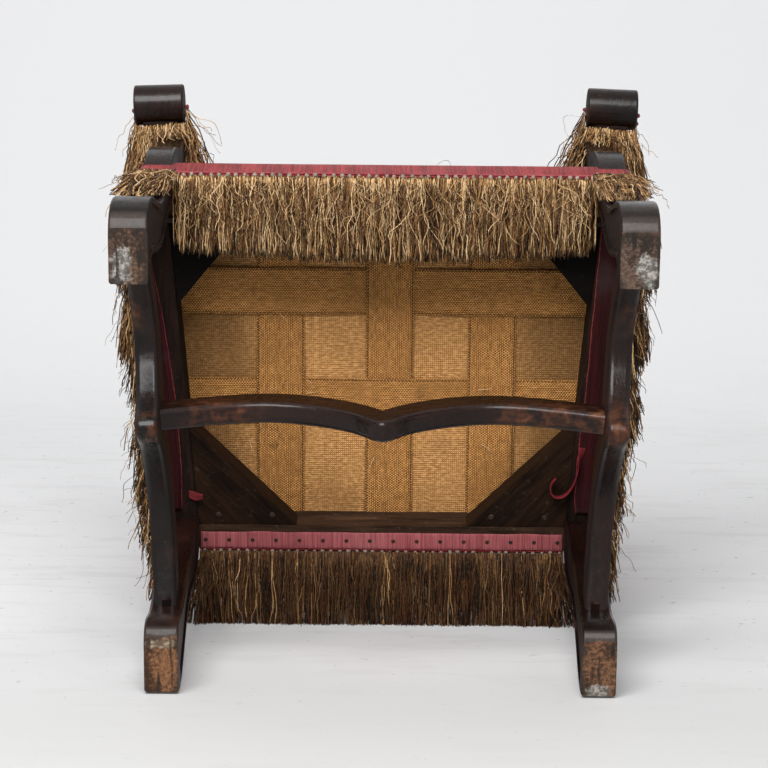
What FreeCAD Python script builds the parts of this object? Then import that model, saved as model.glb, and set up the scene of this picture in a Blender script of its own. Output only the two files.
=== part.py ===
import FreeCAD, Part
import math
import os
import Sketcher

# A baroque armchair on sheep-bone legs, stuffed and fringed.
# It stands upright: +Z up, front to -Y, +X to the right as seen from the front, floor at Z = 0.

DRIVING_SIZES = (
    ("running_clearance", 0.3, "gap left between a piece and the next"),
    ("joint_clearance", 0.4, "gap around a tenon in its mortise"),
    ("cut_overrun", 20, "how far a cutting shape runs past what it cuts"),
    ("frame_front", 296, "origin to the front rail's face"),
    ("frame_rear", 179, "origin to the rear rail's back face"),
    ("front_half_width", 300, "middle to the outer face of a front leg"),
    ("rear_half_width", 268, "middle to the outer face of a rear post"),
    ("rail_underside", 355, "floor to the underside of the seat rails"),
    ("rail_height", 60, "height of the seat rails"),
    ("rail_thickness", 30, "thickness of the front and rear rails"),
    ("side_rail_thickness", 37, "thickness of the side rails"),
    ("front_leg_width", 43, "front leg, side to side"),
    ("front_leg_reach", 35, "how far the front foot stands ahead of the rail"),
    ("front_leg_depth", 86, "front foot, front to back"),
    ("front_block_depth", 58, "front leg's square block at the rails"),
    ("rear_post_width", 39, "rear leg and post, side to side"),
    ("rear_post_depth", 40, "rear post, front to back, above the seat"),
    ("rear_foot_depth", 87, "rear foot, front to back"),
    ("rear_foot_reach", 58, "how far the rear foot stands behind the rail"),
    ("leg_step", 1.8, "step at the top of a leg, below the rails"),
    ("leg_arris_radius", 3, "rounding of the legs' long edges"),
    ("panel_border", 8, "raised border around a leg's sunk side"),
    ("panel_depth", 2.6, "depth of a leg's sunk side"),
    ("total_height", 1090, "floor to the top of the back"),
    ("back_rake_run", 182, "how far the post leans back over its height"),
    ("stretcher_width", 27, "side stretchers, side to side"),
    ("cross_stretcher_width", 25, "cross stretcher, front to back"),
    ("stretcher_end_height", 76, "underside of a stretcher at its ends"),
    ("stretcher_crest_height", 117, "underside of a stretcher at the top of its arch"),
    ("stretcher_cusp_height", 43, "underside of a stretcher at its cusp"),
    ("stretcher_cusp_width", 13, "worn round point of a cusp"),
    ("stretcher_cusp_rise", 2, "rise of that point's edges above its middle"),
    ("stretcher_depth", 41, "stretcher, top to underside, in its arches"),
    ("cusp_depth", 78, "stretcher, top to underside, over its cusp"),
    ("cusp_line", 66, "origin forward to the line of the cusps"),
    ("stretcher_arris_radius", 6.5, "rounding of the stretchers' lower edges"),
    ("tenon_thickness", 10, "thickness of the frame's tenons"),
    ("tenon_length", 22, "length of the frame's tenons"),
    ("tenon_shoulder", 7, "wood left above and below a tenon"),
    ("peg_diameter", 7, "wooden pegs through the tenons"),
    ("peg_stand", 1.2, "how far a peg stands proud"),
    ("front_block_length", 111, "front corner blocks, along the rail"),
    ("front_block_return", 132, "front corner blocks, along the side rail"),
    ("rear_block_length", 122, "rear corner blocks, along the rail"),
    ("rear_block_return", 130, "rear corner blocks, along the side rail"),
    ("corner_block_thickness", 42, "corner blocks, top to bottom"),
    ("corner_block_recess", 3, "corner blocks above the rails' underside"),
    ("block_nail_diameter", 7, "heads of the nails in the corner blocks"),
    ("block_nail_head", 1.2, "height of those heads"),
    ("web_width", 60, "girth webs"),
    ("web_thickness", 1.6, "girth webs"),
    ("web_rise", 1.3, "how far a web bends out of line where two cross"),
    ("web_inset", 8, "rail's outer face to the end of a web"),
    ("lengthwise_web_left", 129, "middle to the left lengthwise web"),
    ("lengthwise_web_middle", 8, "middle to the middle lengthwise web"),
    ("lengthwise_web_right", 136, "middle to the right lengthwise web"),
    ("crosswise_web_front", 139.5, "origin forward to the front crosswise web"),
    ("crosswise_web_rear", 3, "origin back to the rear crosswise web"),
    ("web_tack_diameter", 8, "heads of the web tacks"),
    ("web_tack_head", 1, "height of those heads"),
    ("hessian_thickness", 1, "cloth over the webs"),
    ("cover_thickness", 1.8, "silk and its lining"),
    ("seat_edge_height", 433, "floor to the top edge of the seat"),
    ("seat_crown", 11, "rise of the seat in its middle"),
    ("skirt_lift", 0.5, "lower edge of the silk below the rails"),
    ("turnunder_thickness", 1.2, "silk turned under a side rail"),
    ("turnunder_width", 37, "silk turned under the right side rail, over all of its width"),
    ("tacking_strip_width", 22, "strip under the rear rail"),
    ("strip_tack_diameter", 5, "heads of the tacks in that strip"),
    ("strip_tack_head", 0.9, "height of those heads"),
    ("braid_height", 13, "braid at the head of a fringe"),
    ("braid_thickness", 5, "braid at the head of a fringe"),
    ("fringe_length", 97, "threads, heading to tip"),
    ("fringe_thickness", 6.6, "body of a hanging fringe"),
    ("front_fringe_half_width", 250, "half the length of the swinging front fringe"),
    ("rear_fringe_half_width", 225, "half the length of the swinging rear fringe"),
    ("side_fringe_spread_front", 34, "side fringe beyond the braid, at the front"),
    ("side_fringe_spread_rear", 34, "side fringe beyond the braid, at the rear"),
    ("side_fringe_trail", 68, "side fringe behind the rear rail"),
    ("side_fringe_thickness", 15, "side fringe, top to bottom"),
    ("arm_height", 664, "floor to the middle of an arm's scroll"),
    ("arm_scroll_diameter", 53, "scroll at the front of an arm"),
    ("arm_scroll_rim_radius", 2.5, "rounding of the scroll's rims"),
    ("arm_scroll_width", 65, "scroll at the front of an arm, side to side"),
    ("arm_scroll_reach", 330, "origin forward to the middle of the scroll"),
    ("arm_scroll_half_span", 298, "middle to the middle of a scroll"),
    ("arm_width", 46, "arm, side to side"),
    ("arm_thickness", 30, "arm, top to bottom"),
    ("arm_support_width", 35, "arm support, side to side"),
    ("arm_support_outset", 2, "arm support's centre outside the front leg's"),
    ("arm_support_depth", 46, "arm support, front to back, at its foot"),
    ("arm_pad_start", 40, "scroll's middle to the front of the arm pad"),
    ("arm_pad_length", 389, "arm pad, front to back"),
    ("arm_pad_height", 20, "arm pad above the wood"),
    ("arm_fringe_spread", 33, "arm fringe beyond the wood"),
    ("arm_fringe_inner_start", 84, "scroll's middle to the inner arm fringe, clear of the support"),
    ("arm_fringe_thickness", 9, "arm fringe, top to bottom"),
    ("back_rail_height", 55, "rails of the back frame"),
    ("back_rail_thickness", 26, "rails of the back frame"),
    ("back_start", 92, "seat rails' top to the underside of the back, along the post"),
    ("back_pad_thickness", 30, "stuffing of the back at its edge"),
    ("back_crown", 24, "rise of the back's stuffing in its middle"),
)

document = FreeCAD.newDocument("armchair")
sheet = document.addObject("Spreadsheet::Sheet", "Sizes")
for row, (alias, number, meaning) in enumerate(DRIVING_SIZES, start=1):
    sheet.set("A%d" % row, alias)
    sheet.set("B%d" % row, str(number))
    sheet.set("C%d" % row, meaning)
    sheet.setAlias("B%d" % row, alias)
document.recompute()

parts = {}
SIDES = (("left", -1), ("right", 1))


def size(alias):
    """A driving dimension, read back from the sheet."""
    return float(sheet.get(alias))


def vector(x, y, z=0):
    return FreeCAD.Vector(x, y, z)


def keep(label, feature):
    """Enter a finished sub-part under the name of its file."""
    feature.Label = label
    parts[label] = feature
    return feature


def box(name, low, high):
    """A block between two corners whose coordinates are expressions over the sheet."""
    block = document.addObject("Part::Box", name)
    for axis, side, first, last in zip("xyz", ("Length", "Width", "Height"), low, high):
        block.setExpression(side, "(%s) - (%s)" % (last, first))
        block.setExpression(".Placement.Base." + axis, first)
    return block


def fused(name, features):
    joined = document.addObject("Part::MultiFuse", name)
    joined.Shapes = features
    return joined


def cut(name, base, tools):
    """Take one or more cutting shapes out of a base."""
    result = document.addObject("Part::Cut", name)
    result.Base = base
    result.Tool = tools[0] if len(tools) == 1 else fused(name + "_tools", tools)
    return result


def spline(points):
    curve = Part.BSplineCurve()
    curve.interpolate([vector(*point) for point in points])
    return curve


def line(start, end):
    return Part.LineSegment(vector(*start), vector(*end))


def outline_sketch(body, name, plane, curves, offset):
    """A closed outline drawn on one of a body's own origin planes."""
    sketch = body.newObject("Sketcher::SketchObject", name + "_outline")
    origin_plane = [item for item in body.Origin.OriginFeatures if item.Role == plane][0]
    sketch.AttachmentSupport = [(origin_plane, "")]
    sketch.MapMode = "FlatFace"
    sketch.setExpression("AttachmentOffset.Base.z", offset)
    for curve in curves:
        index = sketch.addGeometry(curve, False)
        sketch.addConstraint(Sketcher.Constraint("Block", index))
    return sketch


def outline_body(name, plane, curves, width, offset="0", symmetric=True):
    """A body padded from one closed outline on one of its own origin planes."""
    body = document.addObject("PartDesign::Body", name)
    sketch = outline_sketch(body, name, plane, curves, offset)
    pad = body.newObject("PartDesign::Pad", name + "_pad")
    pad.Profile = sketch
    pad.Midplane = symmetric
    pad.setExpression("Length", width)
    return body


def polygon(points):
    """Straight outline through the points, closed."""
    return [line(start, end) for start, end in zip(points, points[1:] + points[:1])]


def share_points(shares, start, end, height_low, height_high):
    """Points of an outline given as shares of a depth and of a height."""
    depth = end - start
    rise = height_high - height_low
    return [(start + across * depth, height_low + up * rise) for across, up in shares]


# Places that several pieces share
rail_top = size("rail_underside") + size("rail_height")
front_face = -size("frame_front")
rear_face = size("frame_rear")
front_block_rear = front_face + size("front_block_depth")
post_front = rear_face - size("rear_post_depth")
front_leg_centre = size("front_half_width") - size("front_leg_width") / 2
rear_post_centre = size("rear_half_width") - size("rear_post_width") / 2
rake = math.atan2(size("back_rake_run"), size("total_height") - rail_top)

RAIL_TOP = "Sizes.rail_underside + Sizes.rail_height"
FRONT_FACE = "-Sizes.frame_front"
FRONT_BLOCK_REAR = "Sizes.front_block_depth - Sizes.frame_front"
POST_FRONT = "Sizes.frame_rear - Sizes.rear_post_depth"


def outer_half_width(y):
    """Half the width over the frame: parallel along the front blocks, then narrowing to the rear posts."""
    if y <= front_block_rear:
        return size("front_half_width")
    if y >= post_front:
        return size("rear_half_width")
    slope = (size("front_half_width") - size("rear_half_width")) / (post_front - front_block_rear)
    return size("front_half_width") - slope * (y - front_block_rear)


# Front legs: forward at the round toe, back at the waist, and nearly flush with the block above
FRONT_LEG_FRONT_SHARES = ((0.27, 0), (0.10, 0.035), (0.01, 0.10), (0.03, 0.20), (0.17, 0.34),
                          (0.32, 0.46), (0.41, 0.57), (0.40, 0.70), (0.36, 0.83), (0.335, 0.92), (0.33, 1))
FRONT_LEG_REAR_SHARES = ((1.02, 1), (0.86, 0.92), (0.80, 0.83), (0.88, 0.70), (0.98, 0.56),
                         (0.98, 0.47), (0.90, 0.34), (0.79, 0.20), (0.86, 0.08), (1, 0))
# Rear legs: the foot sweeps back
REAR_LEG_FRONT_SHARES = ((0.18, 0), (0.04, 0.035), (0.02, 0.09), (0.09, 0.20), (0, 0.38), (-0.10, 0.54),
                         (-0.13, 0.68), (-0.18, 0.82), (-0.20, 0.92), (-0.126, 1))
REAR_LEG_REAR_SHARES = ((0.333, 1), (0.50, 0.92), (0.545, 0.80), (0.50, 0.68), (0.46, 0.54),
                        (0.60, 0.38), (0.86, 0.22), (0.99, 0.09), (0.93, 0))


def leg_outline(front, rear, top_points):
    """Outline of a leg in side view, up its front, over the block and down its back."""
    return ([spline(front)] + [line(a, b) for a, b in zip([front[-1]] + top_points, top_points + [rear[0]])]
            + [spline(rear), line(rear[-1], front[0])])


def sunk_panel(body, name, curves, offset, inward):
    """A shallow sunk panel in one side face of a leg, which leaves a raised border."""
    pocket = body.newObject("PartDesign::Pocket", name)
    pocket.Profile = outline_sketch(body, name, "YZ_Plane", curves, offset)
    pocket.Reversed = inward
    pocket.setExpression("Length", "Sizes.panel_depth")
    return pocket


def round_edges(body, name, radius, chosen):
    """Round the edges of a body's last feature that a test picks out."""
    document.recompute()
    base = body.Tip
    edges = ["Edge%d" % index for index, edge in enumerate(base.Shape.Edges, start=1) if chosen(edge)]
    fillet = body.newObject("PartDesign::Fillet", name)
    fillet.Base = (base, edges)
    fillet.setExpression("Radius", radius)
    return fillet


def curved_on_side(edge):
    """True for a curved edge that lies in one upright side face."""
    flat = edge.BoundBox.XLength < size("running_clearance")
    return flat and edge.Curve.TypeId == "Part::GeomBSplineCurve"


def bone_leg(name, front, rear, top_points, width):
    """A leg in its own place at X = 0, rounded along its edges and sunk in both sides."""
    body = outline_body(name, "YZ_Plane", leg_outline(front, rear, top_points), width)
    round_edges(body, name + "_rounding", "Sizes.leg_arris_radius", curved_on_side)
    border = size("panel_border")
    inner_front = [(across + border, up) for across, up in front[1:-1]]
    inner_rear = [(across - border, up) for across, up in rear[1:-1]]
    inner = [spline(inner_front), line(inner_front[-1], inner_rear[0]), spline(inner_rear),
             line(inner_rear[-1], inner_front[0])]
    sunk_panel(body, name + "_outer_panel", inner, width + " / 2", False)
    sunk_panel(body, name + "_inner_panel", inner, "-" + width + " / 2", True)
    return body


def front_leg_body(side_name, side):
    start = front_face - size("front_leg_reach")
    end = start + size("front_leg_depth")
    top = size("rail_underside") - size("leg_step")
    front = share_points(FRONT_LEG_FRONT_SHARES, start, end, 0, top)
    rear = share_points(FRONT_LEG_REAR_SHARES, start, end, 0, top)
    over = [(front_face, top), (front_face, rail_top), (front_block_rear, rail_top), (front_block_rear, top)]
    body = bone_leg("front_leg_%s_body" % side_name, front, rear, over, "Sizes.front_leg_width")
    body.setExpression(".Placement.Base.x", "%d * (Sizes.front_half_width - Sizes.front_leg_width / 2)" % side)
    return body


def rear_post_body(side_name, side):
    end = rear_face + size("rear_foot_reach")
    start = end - size("rear_foot_depth")
    top = size("rail_underside") - size("leg_step")
    front = share_points(REAR_LEG_FRONT_SHARES, start, end, 0, top)
    rear = share_points(REAR_LEG_REAR_SHARES, start, end, 0, top)
    front[-1] = (post_front, top)
    rear[0] = (rear_face, top)
    top_front = post_front + size("back_rake_run")
    thickness = size("rear_post_depth") * math.cos(rake)
    over = [(post_front, rail_top), (top_front, size("total_height")),
            (top_front + thickness * math.cos(rake), size("total_height") - thickness * math.sin(rake)),
            (rear_face, rail_top)]
    body = bone_leg("rear_post_%s_body" % side_name, front, rear, over, "Sizes.rear_post_width")
    body.setExpression(".Placement.Base.x", "%d * (Sizes.rear_half_width - Sizes.rear_post_width / 2)" % side)
    return body


front_legs = {name: front_leg_body(name, side) for name, side in SIDES}
rear_posts = {name: rear_post_body(name, side) for name, side in SIDES}


def mortised(name, low, high):
    """The hole for a tenon between two corners: the tenon and its clearance all round."""
    gap = "Sizes.joint_clearance"
    wide_low = ["%s - %s" % (item, gap) for item in low]
    wide_high = ["%s + %s" % (item, gap) for item in high]
    return box(name, wide_low, wide_high)


leg_mortises = {name: [] for name, side in SIDES}
post_mortises = {name: [] for name, side in SIDES}
stretcher_mortises = {name: [] for name, side in SIDES}

TENON_LOW = "Sizes.rail_underside + Sizes.tenon_shoulder"
TENON_HIGH = RAIL_TOP + " - Sizes.tenon_shoulder"


# Seat rails
def cross_rail(name, half_span, rear_of, holes):
    """The front or rear rail, from leg to leg, with a tenon at each end."""
    front = "%s" % rear_of
    back = "%s + Sizes.rail_thickness" % rear_of
    middle = "%s + Sizes.rail_thickness / 2" % rear_of
    pieces = [box(name + "_bar", ("-(%s)" % half_span, front, "Sizes.rail_underside"),
                  (half_span, back, RAIL_TOP))]
    for side_name, side in SIDES:
        reach = "%s + Sizes.tenon_length" % half_span
        across = ("-(%s)" % reach, "-(%s)" % half_span) if side < 0 else (half_span, reach)
        low = (across[0], middle + " - Sizes.tenon_thickness / 2", TENON_LOW)
        high = (across[1], middle + " + Sizes.tenon_thickness / 2", TENON_HIGH)
        pieces.append(box("%s_tenon_%s" % (name, side_name), low, high))
        holes[side_name].append(mortised("%s_mortise_%s" % (name, side_name), low, high))
    return fused(name, pieces)


keep("front_rail", cross_rail("front_rail_joined", "(Sizes.front_half_width - Sizes.front_leg_width)",
                              FRONT_FACE, leg_mortises))
keep("rear_rail", cross_rail("rear_rail_joined", "(Sizes.rear_half_width - Sizes.rear_post_width)",
                             "Sizes.frame_rear - Sizes.rail_thickness", post_mortises))


def side_tenon_x(side, outer, thickness):
    """Low and high X of a tenon centred in a side piece whose outer face is given."""
    middle = "(%s - %s / 2)" % (outer, thickness)
    if side < 0:
        middle = "(-1 * %s)" % middle
    return (middle + " - Sizes.tenon_thickness / 2", middle + " + Sizes.tenon_thickness / 2")


def side_rail(side_name, side):
    front_outer = side * size("front_half_width")
    rear_outer = side * size("rear_half_width")
    inward = side * size("side_rail_thickness")
    points = [(front_outer, front_block_rear), (rear_outer, post_front),
              (rear_outer - inward, post_front), (front_outer - inward, front_block_rear)]
    bar = outline_body("side_rail_%s_bar" % side_name, "XY_Plane", polygon(points), "Sizes.rail_height",
                       "Sizes.rail_underside", False)
    front_x = side_tenon_x(side, "Sizes.front_half_width", "Sizes.side_rail_thickness")
    rear_x = side_tenon_x(side, "Sizes.rear_half_width", "Sizes.side_rail_thickness")
    # The rear rail's tenon already fills the post's inner half, so the side rail's rear tenon is shorter.
    ends = (
        ("front", front_x, "%s - Sizes.tenon_length" % FRONT_BLOCK_REAR, FRONT_BLOCK_REAR, leg_mortises),
        ("rear", rear_x, POST_FRONT, "%s + Sizes.tenon_shoulder" % POST_FRONT, post_mortises),
    )
    pieces = [bar]
    for end, across, low_y, high_y, holes in ends:
        low = (across[0], low_y, TENON_LOW)
        high = (across[1], high_y, TENON_HIGH)
        pieces.append(box("side_rail_%s_%s_tenon" % (side_name, end), low, high))
        holes[side_name].append(mortised("side_rail_%s_%s_mortise" % (side_name, end), low, high))
    return fused("side_rail_%s_joined" % side_name, pieces)


for side_name, side in SIDES:
    keep("side_rail_" + side_name, side_rail(side_name, side))


# Stretchers: two arches that meet in a downward cusp, worn round at its point
ARCH_SHARES = ((0, 0), (0.25, 0.62), (0.52, 1))
ARCH_FALL_SHARES = ((0.52, 1), (0.78, 0.72), (0.93, 0.30))


def stretcher_curves(start, cusp, end, end_low, crest, cusp_low, depth, cusp_depth):
    """Outline of a stretcher seen square on: underside with a cusp, top with a shallow dip."""
    tip = size("stretcher_cusp_width") / 2

    def underside(from_x, to_x):
        span = to_x - from_x
        rise = crest - end_low
        fall = crest - cusp_low
        points = [(from_x + along * span, end_low + up * rise) for along, up in ARCH_SHARES]
        points += [(from_x + along * span, cusp_low + up * fall) for along, up in ARCH_FALL_SHARES[1:]]
        return points + [(to_x, cusp_low + size("stretcher_cusp_rise"))]

    def top_side(from_x):
        span = cusp - from_x
        points = [(from_x + along * span, end_low + depth + up * (crest - end_low)) for along, up in ARCH_SHARES]
        fall = crest + depth - dip
        points += [(from_x + along * span, dip + up * fall) for along, up in ARCH_FALL_SHARES[1:]]
        return points + [(cusp, dip)]

    dip = cusp_low + cusp_depth
    low = underside(start, cusp - tip) + [(cusp, cusp_low)] + underside(end, cusp + tip)[::-1]
    top_right = top_side(end)
    top_left = top_side(start)[::-1]
    return [spline(low), line(low[-1], top_right[0]), spline(top_right), spline(top_left),
            line(top_left[-1], low[0])]


def curved_and_low(edge):
    """True for a stretcher's long lower edges, which reach down to its cusp."""
    reach = size("stretcher_cusp_height") + size("running_clearance")
    return edge.Curve.TypeId == "Part::GeomBSplineCurve" and edge.BoundBox.ZMin < reach


side_stretcher_front = front_face + size("front_leg_depth") / 2
side_stretcher_rear = rear_face
stretcher_run = side_stretcher_rear - side_stretcher_front
stretcher_lean = math.atan2(front_leg_centre - rear_post_centre, stretcher_run)


def stretcher_centre(y):
    """Middle to the centre line of a side stretcher, at a place along the chair."""
    return front_leg_centre - (y - side_stretcher_front) * math.tan(stretcher_lean)


def side_stretcher_body(side_name, side):
    length = stretcher_run / math.cos(stretcher_lean)
    cusp = (-size("cusp_line") - side_stretcher_front) / math.cos(stretcher_lean)
    name = "side_stretcher_%s_arches" % side_name
    curves = stretcher_curves(0, cusp, length, size("stretcher_end_height"), size("stretcher_crest_height"),
                              size("stretcher_cusp_height"), size("stretcher_depth"), size("cusp_depth"))
    body = outline_body(name, "YZ_Plane", curves, "Sizes.stretcher_width")
    round_edges(body, name + "_rounding", "Sizes.stretcher_arris_radius", curved_and_low)
    turn = FreeCAD.Rotation(vector(0, 0, 1), math.degrees(side * stretcher_lean))
    body.Placement = FreeCAD.Placement(vector(side * front_leg_centre, side_stretcher_front), turn)
    return body


side_stretchers = {name: side_stretcher_body(name, side) for name, side in SIDES}

cross_centre = -size("cusp_line")
cross_half_span = stretcher_centre(cross_centre)
cross_body = outline_body(
    "cross_stretcher_arches", "XZ_Plane",
    stretcher_curves(-cross_half_span, 0, cross_half_span, size("stretcher_end_height"),
                     size("stretcher_crest_height"), size("stretcher_cusp_height"), size("stretcher_depth"),
                     size("stretcher_depth") + size("tenon_shoulder")),
    "Sizes.cross_stretcher_width", "Sizes.cusp_line")
round_edges(cross_body, "cross_stretcher_rounding", "Sizes.stretcher_arris_radius", curved_and_low)

STRETCHER_TENON_LOW = "Sizes.stretcher_end_height + Sizes.tenon_shoulder"
STRETCHER_TENON_HIGH = "Sizes.stretcher_end_height + Sizes.stretcher_depth - Sizes.tenon_shoulder"


def stretcher_tenon(name, side, y_low, y_high, centre, holes, side_name):
    """A tenon along the chair, from a side stretcher into a leg."""
    middle = "%.6f" % (side * centre)
    low = (middle + " - Sizes.tenon_thickness / 2", y_low, STRETCHER_TENON_LOW)
    high = (middle + " + Sizes.tenon_thickness / 2", y_high, STRETCHER_TENON_HIGH)
    holes[side_name].append(mortised(name + "_mortise", low, high))
    return box(name, low, high)


pegs = []
peg_holes = {name: [] for name, side in SIDES}


def peg(name, side, outer, y, wood_width):
    """A wooden peg across a tenon, from a leg's sunk outer side, with the hole that it sits in."""
    z = size("stretcher_end_height") + size("stretcher_depth") / 2
    reach = side * (outer - size("panel_depth") + size("peg_stand"))
    for kind, radius in (("", "Sizes.peg_diameter / 2"),
                         ("_hole", "Sizes.peg_diameter / 2 + Sizes.joint_clearance / 2")):
        rod = document.addObject("Part::Cylinder", name + kind)
        rod.setExpression("Radius", radius)
        rod.setExpression("Height", wood_width + " * 0.75")
        rod.Placement = FreeCAD.Placement(vector(reach, y, z), FreeCAD.Rotation(vector(0, 1, 0), -90 * side))
        (peg_holes[name.split("_")[-1]] if kind else pegs).append(rod)
    return rod


def side_stretcher(side_name, side):
    body = side_stretchers[side_name]
    shouldered = cut("side_stretcher_%s_shouldered" % side_name, body,
                     [front_legs[side_name], rear_posts[side_name]])
    front_end = "Sizes.front_leg_depth - Sizes.front_leg_reach - Sizes.frame_front"
    rear_end = "Sizes.frame_rear + Sizes.rear_foot_reach - Sizes.rear_foot_depth"
    front_tenon = stretcher_tenon("side_stretcher_%s_front_tenon" % side_name, side,
                                  "%s - Sizes.tenon_length * 2" % front_end, front_end,
                                  stretcher_centre(side_stretcher_front), leg_mortises, side_name)
    rear_tenon = stretcher_tenon("side_stretcher_%s_rear_tenon" % side_name, side, rear_end,
                                 "%s + Sizes.tenon_length * 1.5" % rear_end,
                                 stretcher_centre(side_stretcher_rear), post_mortises, side_name)
    front_y = front_face - size("front_leg_reach") + size("front_leg_depth") - size("tenon_length")
    rear_y = rear_face + size("rear_foot_reach") - size("rear_foot_depth") + size("tenon_length")
    leg_mortises[side_name].append(peg("peg_front_" + side_name, side, size("front_half_width"), front_y,
                                       "Sizes.front_leg_width"))
    post_mortises[side_name].append(peg("peg_rear_" + side_name, side, size("rear_half_width"), rear_y,
                                        "Sizes.rear_post_width"))
    return fused("side_stretcher_%s_joined" % side_name, [shouldered, front_tenon, rear_tenon])


def cross_tenon(side_name, side):
    reach = cross_half_span - size("stretcher_width") / 2
    ends = sorted((side * reach, side * (reach + size("stretcher_width") / 2)))
    low = ("%.6f" % ends[0], "-Sizes.cusp_line - Sizes.tenon_thickness / 2", STRETCHER_TENON_LOW)
    high = ("%.6f" % ends[1], "Sizes.tenon_thickness / 2 - Sizes.cusp_line", STRETCHER_TENON_HIGH)
    stretcher_mortises[side_name].append(mortised("cross_tenon_%s_mortise" % side_name, low, high))
    return box("cross_tenon_%s" % side_name, low, high)


cross_shouldered = cut("cross_stretcher_shouldered", cross_body, list(side_stretchers.values()))
keep("cross_stretcher", fused("cross_stretcher_joined",
                              [cross_shouldered] + [cross_tenon(name, side) for name, side in SIDES]))
for side_name, side in SIDES:
    joined = side_stretcher(side_name, side)
    keep("side_stretcher_" + side_name,
         cut("side_stretcher_%s_bored" % side_name, joined, stretcher_mortises[side_name] + peg_holes[side_name]))
peg_group = document.addObject("Part::Compound", "joint_peg_group")
peg_group.Links = pegs
keep("joint_pegs", peg_group)


# Corner blocks, let in between the rails and clear of the legs
def corner_block(name, points):
    lift = "Sizes.rail_underside + Sizes.corner_block_recess"
    return outline_body(name + "_body", "XY_Plane", polygon(points), "Sizes.corner_block_thickness", lift, False)


def side_rail_inner(y):
    return outer_half_width(y) - size("side_rail_thickness")


for side_name, side in SIDES:
    gap = size("running_clearance")
    leg_inner = size("front_half_width") - size("front_leg_width") - gap
    rail_face = front_face + size("rail_thickness")
    back = rail_face + size("front_block_return")
    points = [(leg_inner, rail_face), (leg_inner - size("front_block_length"), rail_face),
              (side_rail_inner(back) - gap, back), (side_rail_inner(front_block_rear) - gap, front_block_rear + gap),
              (leg_inner, front_block_rear + gap)]
    keep("corner_block_front_" + side_name,
         corner_block("corner_block_front_" + side_name, [(side * x, y) for x, y in points]))
    post_inner = size("rear_half_width") - size("rear_post_width") - gap
    rail_face = rear_face - size("rail_thickness")
    forward = rail_face - size("rear_block_return")
    points = [(post_inner, rail_face), (post_inner - size("rear_block_length"), rail_face),
              (side_rail_inner(forward) - gap, forward), (side_rail_inner(post_front) - gap, post_front - gap),
              (post_inner, post_front - gap)]
    keep("corner_block_rear_" + side_name,
         corner_block("corner_block_rear_" + side_name, [(side * x, y) for x, y in points]))


def studs(name, places, diameter, height, level):
    """Domed heads on an underside, as one group of separate solids; level is the face that they sit on."""
    heads = []
    for index, (x, y) in enumerate(places):
        head = document.addObject("Part::Cone", "%s_%d" % (name, index))
        head.setExpression("Radius1", diameter + " * 0.3")
        head.setExpression("Radius2", diameter + " / 2")
        head.setExpression("Height", height)
        head.setExpression(".Placement.Base.z", "%s - %s" % (level, height))
        head.Placement.Base = vector(x, y, head.Placement.Base.z)
        heads.append(head)
    group = document.addObject("Part::Compound", name)
    group.Links = heads
    return group


block_nail_places = []
NAIL_ALONG_SHARES = (0.2, 0.75)
for side_name, side in SIDES:
    for y, length, inner, inward in (
            (front_face + size("rail_thickness") + size("web_inset") * 1.6, size("front_block_length"),
             size("front_half_width") - size("front_leg_width"), 1),
            (rear_face - size("rail_thickness") - size("web_inset") * 1.6, size("rear_block_length"),
             size("rear_half_width") - size("rear_post_width"), -1)):
        for share in NAIL_ALONG_SHARES:
            block_nail_places.append((side * (inner - share * length), y))
keep("corner_block_nails", studs("corner_block_nail_heads", block_nail_places, "Sizes.block_nail_diameter",
                                 "Sizes.block_nail_head", "Sizes.rail_underside + Sizes.corner_block_recess"))


# Girth webs, woven over and under each other and lying on the rails
def web_outline(start, end, crossings):
    """Side view of a web whose crossings are (place, -1 low or 1 high)."""
    half = size("web_width") / 2
    middle = rail_top + size("web_thickness") / 2
    path = [(start, middle), (start + size("rail_thickness"), middle)]
    for place, level in crossings:
        path += [(place - half, middle + level * size("web_rise")), (place + half, middle + level * size("web_rise"))]
    path += [(end - size("rail_thickness"), middle), (end, middle)]
    lift = size("web_thickness") / 2
    return polygon([(a, b - lift) for a, b in path] + [(a, b + lift) for a, b in path[::-1]])


def webs(name, plane, runs):
    bodies = []
    for index, (curves, offset) in enumerate(runs):
        bodies.append(outline_body("%s_%d" % (name, index), plane, curves, "Sizes.web_width", offset))
    group = document.addObject("Part::Compound", name + "_group")
    group.Links = bodies
    return keep(name, group)


front_crossing = -size("crosswise_web_front")
rear_crossing = size("crosswise_web_rear")
web_front = front_face + size("web_inset")
web_rear = rear_face - size("web_inset")
outer_web = web_outline(web_front, web_rear, ((front_crossing, 1), (rear_crossing, -1)))
middle_web = web_outline(web_front, web_rear, ((front_crossing, -1), (rear_crossing, 1)))
webs("webbing_lengthwise", "YZ_Plane", ((outer_web, "-Sizes.lengthwise_web_left"),
                                       (middle_web, "Sizes.lengthwise_web_middle"),
                                       (outer_web, "Sizes.lengthwise_web_right")))
web_columns = (-size("lengthwise_web_left"), size("lengthwise_web_middle"), size("lengthwise_web_right"))
crosswise = []
for place, levels, offset in ((front_crossing, (-1, 1, -1), "Sizes.crosswise_web_front"),
                              (rear_crossing, (1, -1, 1), "-Sizes.crosswise_web_rear")):
    reach = outer_half_width(place + size("web_width") / 2) - size("web_inset")
    crosswise.append((web_outline(-reach, reach, tuple(zip(web_columns, levels))), offset))
webs("webbing_crosswise", "XZ_Plane", crosswise)

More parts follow.
